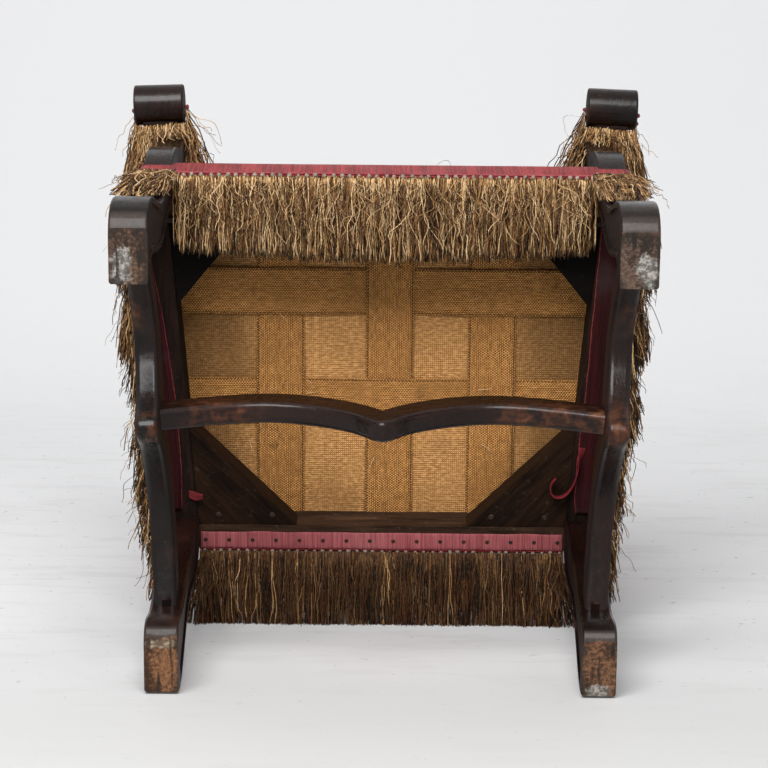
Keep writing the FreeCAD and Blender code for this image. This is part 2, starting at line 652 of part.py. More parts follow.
tack_places = []
TACK_ACROSS_SHARES = (-0.3, 0, 0.3)
for column in web_columns:
    for share in TACK_ACROSS_SHARES:
        tack_places.append((column + share * size("web_width"), web_front + size("rail_thickness") / 3))
        tack_places.append((column + share * size("web_width"), web_rear - size("rail_thickness") / 3))
for row_place in (front_crossing, rear_crossing):
    for share in TACK_ACROSS_SHARES:
        across = outer_half_width(row_place + size("web_width") / 2) - size("web_inset") * 2
        tack_places.append((across, row_place + share * size("web_width")))
        tack_places.append((-across, row_place + share * size("web_width")))
web_tacks = []
for index, (x, y) in enumerate(tack_places):
    head = document.addObject("Part::Cylinder", "web_tack_%d" % index)
    head.setExpression("Radius", "Sizes.web_tack_diameter / 2")
    head.setExpression("Height", "Sizes.web_tack_head")
    head.setExpression(".Placement.Base.z", RAIL_TOP + " + Sizes.web_thickness")
    head.Placement.Base = vector(x, y, head.Placement.Base.z)
    web_tacks.append(head)
tack_group = document.addObject("Part::Compound", "web_tack_group")
tack_group.Links = web_tacks
keep("webbing_tacks", tack_group)


# Seat: cloth over the webs, stuffing, and the silk drawn over both and down the rails
def mirrored(points):
    """Close the right half of a plan, front to back, with its left half."""
    return points + [(-x, y) for x, y in points[::-1]]


def seat_plan(inset):
    """Plan of the layers inside the silk, notched round the arm supports and the posts."""
    notch = size("running_clearance") * 2
    support_face = size("front_half_width") - size("front_leg_width") - notch
    post_face = size("rear_half_width") - size("rear_post_width") - notch
    behind = front_block_rear + notch
    ahead = post_front - notch
    return mirrored([(support_face, front_face + inset), (support_face, behind),
                     (outer_half_width(behind) - inset, behind), (outer_half_width(ahead) - inset, ahead),
                     (post_face, ahead), (post_face, rear_face - inset)])


hessian_level = RAIL_TOP + " + Sizes.web_thickness + Sizes.web_rise + Sizes.running_clearance"
keep("seat_hessian", outline_body("seat_hessian_body", "XY_Plane", polygon(seat_plan(size("web_inset") / 2)),
                                  "Sizes.hessian_thickness", hessian_level, False))

CROWN_SHARES = ((0, 0.15), (0.25, 0.75), (0.5, 1), (0.75, 0.8), (1, 0.2))
SEAT_CROWN_SHARES = ((0.2, 0.8), (0.5, 1), (0.8, 0.85))
SEAT_EDGE_RISE_SHARES = (0.15, 0.5, 0.5, 0.2)


def crowned_section(half, y, low, edge, rise):
    """One cross-section of the seat: flat below, upright sides and an arched top."""
    top = Part.Arc(vector(half, y, edge), vector(0, y, edge + rise), vector(-half, y, edge)).toShape()
    corners = [vector(-half, y, edge), vector(-half, y, low), vector(half, y, low), vector(half, y, edge)]
    sides = [Part.makeLine(a, b) for a, b in zip(corners, corners[1:])]
    return Part.Wire([top] + sides)


def seat_form(grow, low, drop):
    """The seat's crowned shape, grown outwards from the frame and with its top dropped."""
    front = front_face - grow
    rear = rear_face + grow
    between = post_front - front_block_rear
    places = [front, front_block_rear] + [front_block_rear + share * between for share, up in SEAT_CROWN_SHARES]
    rises = list(SEAT_EDGE_RISE_SHARES[:2]) + [up for share, up in SEAT_CROWN_SHARES]
    places += [post_front, rear]
    rises += list(SEAT_EDGE_RISE_SHARES[2:])
    wires = [crowned_section(outer_half_width(y) + grow, y, low, size("seat_edge_height") - drop,
                             size("seat_crown") * up) for y, up in zip(places, rises)]
    return Part.makeLoft(wires, True, True)


def form(name, shape):
    feature = document.addObject("Part::Feature", name)
    feature.Shape = shape
    return feature


gap = size("running_clearance")
silk = size("cover_thickness")
stuffing_low = (rail_top + size("web_thickness") + size("web_rise") + gap + size("hessian_thickness") + gap)
stuffing_form = form("seat_stuffing_form", seat_form(-size("web_inset"), stuffing_low, silk + gap))
stuffing_plan = outline_body("seat_stuffing_plan", "XY_Plane", polygon(seat_plan(size("web_inset"))),
                             "Sizes.seat_edge_height", "0", False)
stuffing = document.addObject("Part::Common", "seat_stuffing_common")
stuffing.Base = stuffing_form
stuffing.Tool = stuffing_plan
keep("seat_stuffing", stuffing)

skirt_low = size("rail_underside") - size("skirt_lift")
cover_outside = form("seat_cover_outside", seat_form(gap + silk, skirt_low, 0))
cover_inside = form("seat_cover_inside", seat_form(gap, skirt_low - size("cut_overrun"), silk))
OVERRUN = "Sizes.cut_overrun"
cover_notches = [cover_inside]
for side_name, side in SIDES:
    ends = ["Sizes.rear_half_width - Sizes.rear_post_width - Sizes.joint_clearance",
            "Sizes.front_half_width + " + OVERRUN]
    across = ends if side > 0 else ["-(%s)" % item for item in ends[::-1]]
    cover_notches.append(box("seat_cover_post_notch_" + side_name,
                             (across[0], POST_FRONT + " - Sizes.joint_clearance", "Sizes.rail_underside - " + OVERRUN),
                             (across[1], "Sizes.frame_rear + " + OVERRUN, "Sizes.seat_edge_height + " + OVERRUN)))
    middle = "%d * (Sizes.front_half_width - Sizes.front_leg_width / 2 + Sizes.arm_support_outset)" % side
    half = "(Sizes.arm_support_width / 2 + Sizes.joint_clearance)"
    front = FRONT_FACE + " + Sizes.tenon_shoulder / 2"
    cover_notches.append(box("seat_cover_support_hole_" + side_name,
                             (middle + " - " + half, front + " - Sizes.web_inset", RAIL_TOP),
                             (middle + " + " + half, front + " + Sizes.arm_support_depth + Sizes.joint_clearance",
                              "Sizes.seat_edge_height + " + OVERRUN)))
keep("seat_cover", cut("seat_cover_cut", cover_outside, cover_notches))


# Silk turned under the side rails: over the whole rail on the right, less of it on the left
def turnunder(side_name, side, start, end, width):
    inner = side * width
    points = [(side * outer_half_width(start), start), (side * outer_half_width(end), end),
              (side * outer_half_width(end) - inner, end), (side * outer_half_width(start) - inner, start)]
    return outline_body("side_turnunder_%s_body" % side_name, "XY_Plane", polygon(points),
                        "Sizes.turnunder_thickness", "Sizes.rail_underside - Sizes.turnunder_thickness", False)


LEFT_TURNUNDER_SHARE = 0.65
turn_end = post_front - size("web_inset")
turn_width = size("turnunder_width")
keep("side_turnunder_right", turnunder("right", 1, front_block_rear, turn_end, turn_width))
keep("side_turnunder_left", turnunder("left", -1, front_block_rear, turn_end, turn_width * LEFT_TURNUNDER_SHARE))

STRIP_REACH = "Sizes.rear_half_width - Sizes.rear_post_width - Sizes.running_clearance"
keep("rear_tacking_strip", box("rear_tacking_strip_box",
                               ("-(%s)" % STRIP_REACH, "Sizes.frame_rear - Sizes.tacking_strip_width",
                                "Sizes.rail_underside - Sizes.turnunder_thickness"),
                               (STRIP_REACH, "Sizes.frame_rear", "Sizes.rail_underside")))
STRIP_TACK_COUNT = 16
strip_reach = size("rear_half_width") - size("rear_post_width") - size("web_inset")
strip_places = [(strip_reach * (2 * index / (STRIP_TACK_COUNT - 1) - 1),
                 rear_face - size("tacking_strip_width") / 2) for index in range(STRIP_TACK_COUNT)]
keep("rear_strip_tacks", studs("rear_strip_tack_heads", strip_places, "Sizes.strip_tack_diameter",
                               "Sizes.strip_tack_head", "(Sizes.rail_underside - Sizes.turnunder_thickness)"))

# Braids along the lower edge of the seat
BRAID_LOW = "Sizes.rail_underside - Sizes.skirt_lift - Sizes.joint_clearance"
braid_inner = gap * 2 + silk
braid_outer = braid_inner + size("braid_thickness")
BRAID_IN = "Sizes.running_clearance * 2 + Sizes.cover_thickness"
side_reach = "Sizes.front_half_width + " + BRAID_IN


def straight_braid(name, half_span, near, far):
    bar = box(name + "_bar", ("-(%s)" % half_span, near, BRAID_LOW),
              (half_span, far, BRAID_LOW + " + Sizes.braid_height"))
    document.recompute()
    return keep(name, bar)


straight_braid("front_braid", side_reach, "%s - (%s) - Sizes.braid_thickness" % (FRONT_FACE, BRAID_IN),
               "%s - (%s)" % (FRONT_FACE, BRAID_IN))
straight_braid("rear_braid", STRIP_REACH, "Sizes.frame_rear + %s" % BRAID_IN,
               "Sizes.frame_rear + %s + Sizes.braid_thickness" % BRAID_IN)


def side_band(side, start, end, inner, outer_start, outer_end):
    """Plan of a band along a side of the seat, from its inner line to its outer line."""
    corners = [y for y in (front_block_rear, post_front) if start < y < end]
    stations = [start] + corners + [end]
    near = [(side * (outer_half_width(y) + inner), y) for y in stations]
    spreads = [outer_start + (outer_end - outer_start) * (y - start) / (end - start) for y in stations]
    far = [(side * (outer_half_width(y) + spread), y) for y, spread in zip(stations, spreads)]
    return polygon(near + far[::-1])


fringe_top = size("rail_underside") - size("skirt_lift") - size("joint_clearance") - gap
FRINGE_TOP = BRAID_LOW + " - Sizes.running_clearance"
for side_name, side in SIDES:
    plan = side_band(side, front_face - braid_inner, post_front, braid_inner + gap, braid_outer, braid_outer)
    keep("side_braid_" + side_name, outline_body("side_braid_%s_body" % side_name, "XY_Plane", plan,
                                                 "Sizes.braid_height", BRAID_LOW, False))
    start = front_block_rear + gap
    trail = rear_face + size("side_fringe_trail")
    plan = side_band(side, start, trail, braid_inner, braid_outer + size("side_fringe_spread_front"),
                     braid_outer + size("side_fringe_spread_rear"))
    keep("side_fringe_" + side_name,
         outline_body("side_fringe_%s_body" % side_name, "XY_Plane", plan, "Sizes.side_fringe_thickness",
                      "%s - Sizes.side_fringe_thickness" % FRINGE_TOP, False))

# Tufts at the front corners, outside and inside each front leg
tufts = []
for side_name, side in SIDES:
    plan = side_band(side, front_face - braid_inner, front_block_rear, braid_inner,
                     braid_outer + size("side_fringe_spread_front") / 2,
                     braid_outer + size("side_fringe_spread_front"))
    tufts.append(outline_body("corner_fringe_outer_" + side_name, "XY_Plane", plan, "Sizes.side_fringe_thickness",
                              "%s - Sizes.side_fringe_thickness" % FRINGE_TOP, False))
corner_group = document.addObject("Part::Compound", "corner_fringe_group")
corner_group.Links = tufts
keep("corner_fringe", corner_group)

# The swinging fringes: flat strips round at the heading, where they turn
PHOTO_HANG = 6.7
hang = math.radians(PHOTO_HANG)


def swinging_fringe(name, half_span, axis_y):
    """A strip hanging from its heading as in the photograph, the heading rounded about its own hinge line."""
    radius = size("fringe_thickness") / 2
    axis_z = fringe_top - radius
    across = vector(math.sin(hang), math.cos(hang)) * radius
    reach = vector(math.cos(hang), -math.sin(hang)) * size("fringe_length")
    centre = vector(axis_y, axis_z)
    back = centre - vector(math.cos(hang), -math.sin(hang)) * radius
    arc = Part.Arc(centre + across, back, centre - across)
    tip_high = centre + reach + across / 2
    tip_low = centre + reach - across / 2
    low = centre - across
    high = centre + across
    curves = [arc, Part.LineSegment(low, tip_low), Part.LineSegment(tip_low, tip_high),
              Part.LineSegment(tip_high, high)]
    return keep(name, outline_body(name + "_body", "YZ_Plane", curves, half_span + " * 2"))


front_axis = front_face - (braid_inner + braid_outer) / 2
rear_axis = rear_face + (braid_inner + braid_outer) / 2
swinging_fringe("front_fringe", "Sizes.front_fringe_half_width", front_axis)
swinging_fringe("rear_fringe", "Sizes.rear_fringe_half_width", rear_axis)

# Arms: a scroll at the front, a dip in the middle, a tenon into the post
arm_height = size("arm_height")
scroll_y = -size("arm_scroll_reach")
post_front_at_arm = post_front + math.tan(rake) * (arm_height - rail_top)
arm_run = post_front_at_arm - scroll_y
arm_lean = math.atan2(size("arm_scroll_half_span") - rear_post_centre, arm_run)
arm_length = arm_run / math.cos(arm_lean)
ARM_TOP_SHARES = ((1, 0.5), (0.82, 0.25), (0.5, 0), (0.2, 0.38), (0.02, 0.78))
ARM_LOW_SHARES = ((0.02, -0.6), (0.2, -0.8), (0.5, -1.15), (0.82, -0.8), (1, -0.55))
SCROLL_TURN_SHARE = 0.4


def arm_points(shares):
    """Side view of an arm: shares of its length, and of its thickness above and below its middle."""
    extra = size("tenon_shoulder") / arm_length
    scale = size("arm_thickness")
    return [((along + (extra if along == 1 else 0)) * arm_length, up * scale) for along, up in shares]


def arm_placement(side, turn_share=1):
    turn = FreeCAD.Rotation(vector(0, 0, 1), math.degrees(side * arm_lean * turn_share))
    return FreeCAD.Placement(vector(side * size("arm_scroll_half_span"), scroll_y, arm_height), turn)


def arm_body(side_name, side):
    top = arm_points(ARM_TOP_SHARES)
    low = arm_points(ARM_LOW_SHARES)
    curves = [spline(top), line(top[-1], low[0]), spline(low), line(low[-1], top[0])]
    body = outline_body("armrest_%s_bar" % side_name, "YZ_Plane", curves, "Sizes.arm_width")
    round_edges(body, "armrest_%s_rounding" % side_name, "Sizes.leg_arris_radius", curved_on_side)
    body.Placement = arm_placement(side)
    scroll = document.addObject("Part::Cylinder", "armrest_%s_scroll" % side_name)
    scroll.setExpression("Radius", "Sizes.arm_scroll_diameter / 2")
    scroll.setExpression("Height", "Sizes.arm_scroll_width")
    along_x = FreeCAD.Placement(vector(-size("arm_scroll_width") / 2, 0), FreeCAD.Rotation(vector(0, 1, 0), 90))
    scroll.Placement = arm_placement(side, SCROLL_TURN_SHARE) * along_x
    document.recompute()
    rounded = document.addObject("Part::Fillet", "armrest_%s_scroll_rounded" % side_name)
    rounded.Base = scroll
    rim = size("arm_scroll_rim_radius")
    rounded.Edges = [(index, rim, rim) for index, edge in enumerate(scroll.Shape.Edges, start=1)
                     if edge.Curve.TypeId == "Part::GeomCircle"]
    return fused("armrest_%s_whole" % side_name, [body, rounded])


arm_bodies = {name: arm_body(name, side) for name, side in SIDES}


def turned_box(name, placement, low, high):
    """A block between two corners in a turned frame; the corners are in real sizes."""
    block = document.addObject("Part::Box", name)
    block.Length = high[0] - low[0]
    block.Width = high[1] - low[1]
    block.Height = high[2] - low[2]
    block.Placement = placement * FreeCAD.Placement(vector(*low), FreeCAD.Rotation())
    return block


def turned_tenon(name, placement, low, high, holes):
    """A tenon in a turned frame, with its mortise entered among the holes of the piece that takes it."""
    gap = size("joint_clearance")
    wide_low = [item - gap for item in low]
    wide_high = [item + gap for item in high]
    holes.append(turned_box(name + "_mortise", placement, wide_low, wide_high))
    return turned_box(name, placement, low, high)


for side_name, side in SIDES:
    shouldered = cut("armrest_%s_shouldered" % side_name, arm_bodies[side_name], [rear_posts[side_name]])
    half = size("tenon_thickness") / 2
    tenon = turned_tenon("armrest_%s_tenon" % side_name, arm_placement(side),
                         (-half, arm_length - size("tenon_shoulder"), -half),
                         (half, arm_length + size("tenon_length"), half), post_mortises[side_name])
    keep("armrest_" + side_name, fused("armrest_%s_joined" % side_name, [shouldered, tenon]))

# Arm supports: S-shaped, standing on the front legs' blocks
SUPPORT_FRONT_SHARES = ((0, 0), (-0.30, 0.27), (-0.10, 0.48), (0.12, 0.70), (0, 0.88), (-0.12, 1))
SUPPORT_REAR_SHARES = ((0.86, 1), (0.95, 0.88), (0.98, 0.70), (0.72, 0.48), (0.62, 0.27), (1, 0))
support_x = front_leg_centre + size("arm_support_outset")


def arm_support(side_name, side):
    start = front_face + size("tenon_shoulder") / 2
    end = start + size("arm_support_depth")
    front = share_points(SUPPORT_FRONT_SHARES, start, end, rail_top, arm_height)
    rear = share_points(SUPPORT_REAR_SHARES, start, end, rail_top, arm_height)
    curves = [spline(front), line(front[-1], rear[0]), spline(rear), line(rear[-1], front[0])]
    body = outline_body("arm_support_%s_bar" % side_name, "YZ_Plane", curves, "Sizes.arm_support_width")
    round_edges(body, "arm_support_%s_rounding" % side_name, "Sizes.leg_arris_radius", curved_on_side)
    body.Placement.Base = vector(side * support_x, 0)
    shouldered = cut("arm_support_%s_shouldered" % side_name, body, [arm_bodies[side_name]])
    half = size("tenon_thickness") / 2
    middle = (start + end) / 2
    upright = FreeCAD.Placement()
    tenon = turned_tenon("arm_support_%s_tenon" % side_name, upright,
                         (side * support_x - half, middle - half, rail_top - size("tenon_shoulder") * 2),
                         (side * support_x + half, middle + half, rail_top), leg_mortises[side_name])
    return fused("arm_support_%s_joined" % side_name, [shouldered, tenon])


for side_name, side in SIDES:
    keep("arm_support_" + side_name, arm_support(side_name, side))


# Arm pads: a crowned pad under silk on the flat of each arm
PAD_SHARES = ((0, 0.45), (0.1, 0.9), (0.35, 1), (0.65, 1), (0.9, 0.9), (1, 0.45))
arm_top_curve = spline(arm_points(ARM_TOP_SHARES))


def arm_top_height(y):
    """Top of the arm's wood at a distance behind the scroll's middle."""
    plane = Part.Line(vector(y, 0), vector(y, 1))
    return max(point.Y for point in arm_top_curve.intersectCC(plane))


def pad_form(inset, height, under):
    """A long pad on an arm: arched across, falling at its ends, its flat side below the arm's top by under."""
    start = size("arm_pad_start") + inset
    end = size("arm_pad_start") + size("arm_pad_length") - inset
    half = size("arm_width") / 2 - inset
    wires = []
    for along, up in PAD_SHARES:
        y = start + along * (end - start)
        wood = arm_top_height(y)
        rise = wood + height * up
        shoulder = wood + height * up / 3
        corners = [vector(-half, y, shoulder), vector(-half, y, wood - under),
                   vector(half, y, wood - under), vector(half, y, shoulder)]
        top = Part.Arc(corners[-1], vector(0, y, rise), corners[0]).toShape()
        wires.append(Part.Wire([top] + [Part.makeLine(a, b) for a, b in zip(corners, corners[1:])]))
    return Part.makeLoft(wires, True, True)


pad_height = size("arm_pad_height")
for side_name, side in SIDES:
    pad = form("arm_pad_%s_form" % side_name, pad_form(silk + gap, pad_height - silk - gap, -gap * 2))
    pad.Placement = arm_placement(side)
    keep("arm_pad_" + side_name, cut("arm_pad_%s_fitted" % side_name, pad, [arm_bodies[side_name]]))
    outside = form("arm_cover_%s_outside" % side_name, pad_form(0, pad_height, -gap))
    inside = form("arm_cover_%s_inside" % side_name, pad_form(silk, pad_height - silk, size("arm_thickness") / 2))
    outside.Placement = arm_placement(side)
    inside.Placement = arm_placement(side)
    keep("arm_cover_" + side_name,
         cut("arm_cover_%s_cut" % side_name, outside, [inside, arm_bodies[side_name]]))

# Arm fringes: a flat strip beside each long side of an arm
ARM_FRINGE_LOW_SHARE = 0.6
for side_name, side in SIDES:
    strips = []
    for hand in (-1, 1):
        near = hand * (size("arm_width") / 2 + gap)
        far = near + hand * size("arm_fringe_spread")
        start = size("arm_pad_start") if hand == side else size("arm_fringe_inner_start")
        end = size("arm_pad_start") + size("arm_pad_length")
        low = -size("arm_thickness") * ARM_FRINGE_LOW_SHARE
        strips.append(turned_box("arm_fringe_%s_%d" % (side_name, hand + 1), arm_placement(side),
                                 (min(near, far), start, low),
                                 (max(near, far), end, low + size("arm_fringe_thickness"))))
    group = document.addObject("Part::Compound", "arm_fringe_%s_group" % side_name)
    group.Links = strips
    keep("arm_fringe_" + side_name, group)

# The back: two rails between the posts, cloth, stuffing and silk
back_frame = FreeCAD.Placement(vector(0, post_front, rail_top), FreeCAD.Rotation(vector(1, 0, 0), -math.degrees(rake)))
back_length = (size("total_height") - rail_top) / math.cos(rake)
post_thickness = size("rear_post_depth") * math.cos(rake)
post_inner = size("rear_half_width") - size("rear_post_width")


def back_rail(name, low):
    half = size("back_rail_thickness") / 2
    middle = post_thickness / 2
    high = low + size("back_rail_height")
    pieces = [turned_box(name + "_bar", back_frame, (-post_inner, middle - half, low), (post_inner, middle + half, high))]
    tenon_half = size("tenon_thickness") / 2
    for side_name, side in SIDES:
        ends = sorted((side * post_inner, side * (post_inner + size("tenon_length"))))
        pieces.append(turned_tenon("%s_tenon_%s" % (name, side_name), back_frame,
                                   (ends[0], middle - tenon_half, low + size("tenon_shoulder")),
                                   (ends[1], middle + tenon_half, high - size("tenon_shoulder")),
                                   post_mortises[side_name]))
    return keep(name, fused(name + "_joined", pieces))


back_rail("back_bottom_rail", size("back_start"))
back_rail("back_top_rail", back_length - size("back_rail_height") - size("tenon_shoulder"))


def back_form(half, low, high, rear, front, crown):
    """The back's stuffed shape in its own raked frame, bulging forward in the middle."""
    wires = []
    for share, up in CROWN_SHARES:
        z = low + share * (high - low)
        arc = Part.Arc(vector(half, front, z), vector(0, front - crown * up, z), vector(-half, front, z)).toShape()
        corners = [vector(-half, front, z), vector(-half, rear, z), vector(half, rear, z), vector(half, front, z)]
        wires.append(Part.Wire([arc] + [Part.makeLine(a, b) for a, b in zip(corners, corners[1:])]))
    return Part.makeLoft(wires, True, True)


back_low = size("back_start")
back_half = size("rear_half_width") + gap
cloth = size("hessian_thickness")
sheet_half = post_inner + size("web_inset")
back_sheet = turned_box("back_hessian_sheet", back_frame, (-sheet_half, -gap - cloth, back_low + gap),
                        (sheet_half, -gap, back_length - size("tenon_shoulder")))
arm_holes = []
for side_name, side in SIDES:
    reach = size("arm_width") / 2 + size("joint_clearance")
    arm_holes.append(turned_box("back_arm_hole_" + side_name, arm_placement(side),
                                (-reach, arm_length - size("back_pad_thickness") * 3, -size("arm_thickness")),
                                (reach, arm_length + size("cut_overrun"), size("arm_thickness"))))
keep("back_hessian", cut("back_hessian_cut", back_sheet, arm_holes))
stuffed = form("back_stuffing_form", back_form(back_half - silk - gap, back_low + gap + silk,
                                               back_length - size("tenon_shoulder"), -gap * 2 - cloth,
                                               -size("back_pad_thickness"), size("back_crown")))
stuffed.Placement = back_frame
keep("back_stuffing", cut("back_stuffing_cut", stuffed, arm_holes))
outside = form("back_cover_outside", back_form(back_half + silk, back_low - silk, back_length + silk, post_thickness,
                                               -size("back_pad_thickness") - silk - gap, size("back_crown")))
inside = form("back_cover_inside", back_form(back_half, back_low - gap, back_length - gap,
                                             post_thickness + size("cut_overrun"),
                                             -size("back_pad_thickness") - gap, size("back_crown")))
outside.Placement = back_frame
inside.Placement = back_frame
keep("back_cover", cut("back_cover_cut", outside, [inside] + arm_holes + list(rear_posts.values())))
keep("outside_back_cover", turned_box("outside_back_sheet", back_frame,
                                      (-size("rear_half_width"), post_thickness + gap, back_low),
                                      (size("rear_half_width"), post_thickness + gap + silk, back_length)))

# Legs last, once every tenon has entered its mortise
for side_name, side in SIDES:
    keep("front_leg_" + side_name,
         cut("front_leg_%s_mortised" % side_name, front_legs[side_name], leg_mortises[side_name]))
    keep("rear_post_" + side_name,
         cut("rear_post_%s_mortised" % side_name, rear_posts[side_name], post_mortises[side_name]))

document.recompute()
for item in document.Objects:
    if "Invalid" in item.State or "Error" in item.State:
        raise RuntimeError("%s did not recompute: %s" % (item.Name, item.State))
for label, feature in parts.items():
    if feature.Shape.isNull() or not feature.Shape.isValid():
        raise RuntimeError("%s has no valid shape" % label)
os.makedirs("parts", exist_ok=True)
for label, feature in parts.items():
    feature.Shape.exportStep("parts/%s.step" % label)
print(len(parts), "sub-parts written")
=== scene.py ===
import math

import bpy
import numpy as np
from mathutils import Matrix, Vector, noise


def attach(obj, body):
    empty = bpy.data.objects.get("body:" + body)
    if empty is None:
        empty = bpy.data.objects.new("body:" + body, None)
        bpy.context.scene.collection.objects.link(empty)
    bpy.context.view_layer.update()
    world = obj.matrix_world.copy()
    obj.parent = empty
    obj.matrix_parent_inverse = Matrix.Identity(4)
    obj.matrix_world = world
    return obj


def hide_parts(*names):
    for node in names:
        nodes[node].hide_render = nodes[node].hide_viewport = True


# A sheep-bone armchair in red ribbed silk with thread fringes, seen from underneath as it lies on its back.
# All places are in metres: +Z up the chair, front to -Y, soles at Z = 0.

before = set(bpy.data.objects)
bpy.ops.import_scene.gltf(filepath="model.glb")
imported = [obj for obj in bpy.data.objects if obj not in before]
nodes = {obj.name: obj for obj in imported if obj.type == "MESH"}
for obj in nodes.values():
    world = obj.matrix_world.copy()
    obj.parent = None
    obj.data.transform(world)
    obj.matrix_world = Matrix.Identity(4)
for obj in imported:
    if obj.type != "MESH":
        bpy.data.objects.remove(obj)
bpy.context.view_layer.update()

# Places on the chair's frame
FRONT_FACE = -0.296
REAR_FACE = 0.179
BLOCK_REAR = -0.238
POST_FRONT = 0.139
FRONT_HALF_WIDTH = 0.300
REAR_HALF_WIDTH = 0.268
LEG_WIDTH = 0.043
POST_WIDTH = 0.039
LEG_INNER = FRONT_HALF_WIDTH - LEG_WIDTH
POST_INNER = REAR_HALF_WIDTH - POST_WIDTH
SUPPORT_SPAN = 0.2805
SUPPORT_WIDTH = 0.035
RAIL_TOP = 0.415
SKIRT_LOW = 0.3545
SEAT_BED = 0.4197
SEAT_EDGE = 0.433
SEAT_CROWN = 0.011
SILK = 0.0018
GAP = 0.0003
SIDES = (("left", -1), ("right", 1))

# Girth webs
WEB_WIDTH = 0.060
WEB_THICKNESS = 0.0016
WEB_RISE = 0.0013
WEB_TACKED = 0.008
LENGTHWISE_WEBS = (-0.129, 0.008, 0.136)
CROSSWISE_WEBS = (-0.1395, 0.003)
HESSIAN_LEVEL = 0.4187
STRAW_LEVEL = 0.4131

# Silk under the rails
TURNED_SILK_LEVEL = 0.3543
TACKED_STRIP_LEVEL = 0.3544
TACKED_STRIP_Y = 0.168
TACKED_STRIP_WIDTH = 0.0215
STRIP_THICKNESS = 0.0011

# Arms and back
SCROLL_SPAN = 0.298
SCROLL_Y = -0.330
ARM_HEIGHT = 0.664
ARM_LEAN = math.radians(5.275)
SCROLL_REAR = 0.034
ARM_WOOD_END = 0.425
ARM_HALF_WIDTH = 0.0234
ARM_HALF_THICKNESS = 0.0165
ARM_PAD_START = 0.040
ARM_PAD_LENGTH = 0.389
BACK_RAKE = math.radians(15.09)
BACK_LENGTH = 0.699
BACK_LOW = 0.092
BACK_THICKNESS = 0.0386

# Fringes
FRINGE_LENGTH = 0.097
FRONT_HEADING_Y = -0.3009
REAR_HEADING_Y = 0.1839
HEADING_LEVEL = 0.3505
SIDE_HEADING_LEVEL = 0.3500
BUNCH_PITCH = 0.0047
WOOD_GAP = 0.0015
FRONT_ROW_END = 0.2475
KNOT_SIZE = 0.0036
KNOT_PITCH = 0.0106
ARM_KNOT_PITCH = 0.0100
CORD_RADIUS = 0.0013
CORD_TWIST = 0.0046
HANG = np.array((0, 0.993, -0.116))

# The floor under the lying chair leans a little: depth = FLOOR_Y + FLOOR_SLOPE * height
FLOOR_Y = 0.2335
FLOOR_SLOPE = 0.117
FLOOR_GLOW = 0.08

# The photograph's camera
LENS = 126.6
CAMERA_PLACE = (0.0012, -0.9286, -2.865)
CAMERA_ROLL = math.radians(0.55)


def half_width(y):
    """Half the width over the seat frame at a depth."""
    return np.interp(y, [BLOCK_REAR, POST_FRONT], [FRONT_HALF_WIDTH, REAR_HALF_WIDTH])


# Finishes

class Flow:
    """An output in a finish's nodes. Arithmetic on it adds Math nodes, so that shader maths reads as sums."""

    def __init__(self, finish, socket):
        self.finish = finish
        self.socket = socket

    def sum(self, operation, *terms):
        return self.finish.add("ShaderNodeMath", {"operation": operation}, dict(enumerate(terms)))

    def __add__(self, other):
        return self.sum("ADD", self, other)

    def __radd__(self, other):
        return self.sum("ADD", other, self)

    def __sub__(self, other):
        return self.sum("SUBTRACT", self, other)

    def __rsub__(self, other):
        return self.sum("SUBTRACT", other, self)

    def __mul__(self, other):
        return self.sum("MULTIPLY", self, other)

    def __rmul__(self, other):
        return self.sum("MULTIPLY", other, self)

    def __abs__(self):
        return self.sum("ABSOLUTE", self)


class Nodes:
    """Makes the nodes of a tree and links them."""

    def __init__(self, tree):
        self.tree = tree

    def add(self, kind, settings=None, sockets=None, output=0):
        """Any node: its settings are made first, then its sockets' values or links."""
        node = self.tree.nodes.new(kind)
        for name, value in (settings or {}).items():
            if name == "stops":
                self.set_stops(node.color_ramp, value)
            else:
                setattr(node, name, value)
        for name, value in (sockets or {}).items():
            self.feed(node.inputs[name], value)
        return Flow(self, node.outputs[output])

    def set_stops(self, ramp, stops):
        while len(ramp.elements) < len(stops):
            ramp.elements.new(0.5)
        for element, (place, colour) in zip(ramp.elements, stops):
            element.position = place
            element.color = (*colour, 1)

    def feed(self, socket, value):
        if isinstance(value, Flow):
            self.tree.links.new(value.socket, socket)
        elif socket.type == "RGBA":
            socket.default_value = (*value, 1)
        else:
            socket.default_value = value


